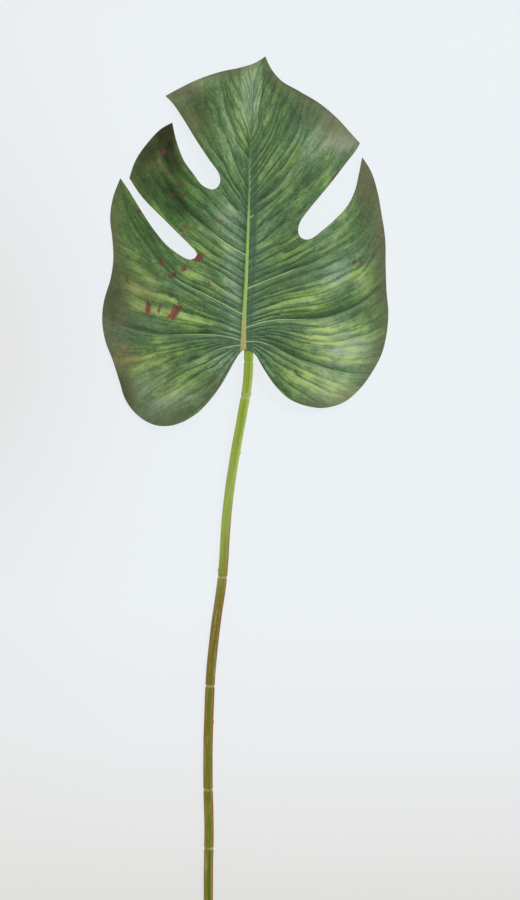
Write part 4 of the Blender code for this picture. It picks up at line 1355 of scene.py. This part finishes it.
def stem_finish():
    """The stem's colours: green at the blade, olive lower down, brown-red rims, pale rings and scuffs."""
    f = Finish("stem_skin")
    side, upward, y = f.mark("left_to_right"), f.mark("upward"), f.mark("place")
    streak = f.noise(f.vector(side * 5, y / 22, upward * 2), detail=3) - 0.5
    thin = f.noise(f.vector(side * 14, y / 7, upward * 6), detail=3) - 0.5
    blotch = f.noise(f.vector(side * 3, y / 6, upward * 3), detail=4) - 0.5

    # Bands along it, with wandering borders, each changing down its length
    wander = side + (f.noise(f.vector(y / 24, 0.0), detail=3) - 0.5) * 0.5 + thin * 0.4
    down = y / STEM_END
    colour = f.ramp(down, STEM_MIDDLE)
    for start, full, stops in STEM_BANDS:
        colour = f.mix(wander.ease(start, full), colour, f.ramp(down, stops))

    # Streaks and blotches, light and dark, and a line of painted shade in the channel
    colour = f.mix((streak + blotch * 0.6).ease(0.0, 0.35) * 0.5, colour, paint(178, 188, 92))
    colour = f.mix((streak * 0.6 + thin).ease(0.0, -0.3) * 0.45, colour, paint(82, 82, 22))
    # Painted shade in the channel, faint along the stem and strong by its cut end
    channel = (side - CHANNEL_SHADE_PLACE).bell(0.13) * upward.ease(0.0, 0.5)
    channel = channel * (y.ease(CHANNEL_SHADE_FROM, CHANNEL_SHADE_FROM - 30) * 0.75 + 0.2)
    colour = f.mix(channel, colour, paint(58, 66, 0))

    # Pale rings at its joints, broken up, and pale scuffs
    pale = []
    for joint, left, right, length in RING_PAINT:
        strength = left + (right - left) * side.ease(-0.6, 0.6)
        pale.append((y - joint).bell(length) * strength)
    for spot, from_left, length, width, strength in SCUFFS:
        across = (side - from_left).bell(width) * upward.ease(-0.2, 0.2)
        pale.append((y - spot).bell(length) * across * strength)
    broken = f.noise(f.vector(side * 3, y * 0.8, upward * 3), detail=3).ease(0.35, 0.6)
    colour = f.mix(reduce(Wire.at_least, pale) * broken * 0.85, colour, paint(198, 200, 150))

    f.set(Base_Color=colour, Roughness=0.48 + thin * 0.2, Specular_IOR_Level=0.22)
    grain = f.noise(f.leaf_place(), scale=1.2, detail=2)
    f.set(Normal=f.bump(streak * 0.5 + thin * 0.6 + grain * 0.2, 0.3 * MM, 0.5))
    return f.material


def floor_finish():
    """The pale surface, lit from within: cool at the picture's top, with warm painted shade at its foot and
    left.
    """
    f = Finish("pale_surface")
    place = f.leaf_place()
    x, y = f.axis(place, "X"), f.axis(place, "Y")
    # Painted light that falls off from the middle towards the picture's foot and top
    colour = f.ramp(y / 1200 + 0.5, PAINTED_FLOOR_FALLOFF)
    # Painted shade: a warmer, darker wash on the left
    corner = x.ease(-30, -380) * x.ease(-1600, -300) * (y.bell(140) * 0.45 + y.bell(500) * 0.3)
    colour = f.mix(corner, colour, paint(215, 211, 203))
    # Its brightness is mostly a painted glow, so it takes little shadow
    f.set(Base_Color=(FLOOR_SHADE,) * 3 + (1,), Roughness=0.9, Specular_IOR_Level=0.1)
    f.set(Emission_Color=colour, Emission_Strength=FLOOR_GLOW)
    return f.material


def make_floor():
    """One large flat face just below everything that rests on the surface."""
    half = FLOOR_SIZE / 2
    corners = [(-half, -half), (half, -half), (half, half), (-half, half)]
    data = bpy.data.meshes.new("pale_floor")
    data.from_pydata([(x * MM, y * MM, -FLOOR_DROP * MM) for x, y in corners], [], [(0, 1, 2, 3)])
    floor = bpy.data.objects.new("pale_floor", data)
    bpy.context.scene.collection.objects.link(floor)
    data.materials.append(floor_finish())


def make_light():
    """Soft light from all around, and a large soft lamp at the upper right that points at the middle."""
    scene = bpy.context.scene
    world = bpy.data.worlds.new("soft_room")
    world.use_nodes = True
    room = world.node_tree.nodes["Background"]
    room.inputs["Color"].default_value = paint(240, 244, 248)
    room.inputs["Strength"].default_value = ROOM_LIGHT
    scene.world = world

    lamp = bpy.data.lights.new("upper_right_softbox", "AREA")
    lamp.size = LAMP_SIZE
    lamp.energy = LAMP_POWER
    light = bpy.data.objects.new("upper_right_softbox", lamp)
    x, y, z = LAMP_PLACE
    light.location = LAMP_PLACE
    light.rotation_euler = (0, math.atan2(math.hypot(x, y), z), math.atan2(y, x))
    scene.collection.objects.link(light)
    scene.view_settings.view_transform = "Standard"


def make_camera():
    """A camera high above the leaf, which looks straight down."""
    data = bpy.data.cameras.new("camera")
    data.sensor_width = FILM
    data.lens = FILM * CAMERA_HEIGHT / (PIXEL * PICTURE_HEIGHT)
    camera = bpy.data.objects.new("camera", data)
    camera.location = (
        (FOOT_PLACE[0] + PICTURE_MIDDLE[0]) * MM,
        (FOOT_PLACE[1] + PICTURE_MIDDLE[1]) * MM,
        (CAMERA_HEIGHT + SCALE_HEIGHT) * MM,
    )
    bpy.context.scene.collection.objects.link(camera)
    bpy.context.scene.camera = camera


blade = make_piece("leaf_blade_sheet", *blade_mesh(), weld=TOUCH)
blade.data.materials.append(blade_finish())
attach(blade, "root")
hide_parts("leaf_blade")

stem = make_piece("ringed_stem", *stem_mesh())
stem.data.materials.append(stem_finish())
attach(stem, "root")
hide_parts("stem")

make_floor()
make_light()
make_camera()
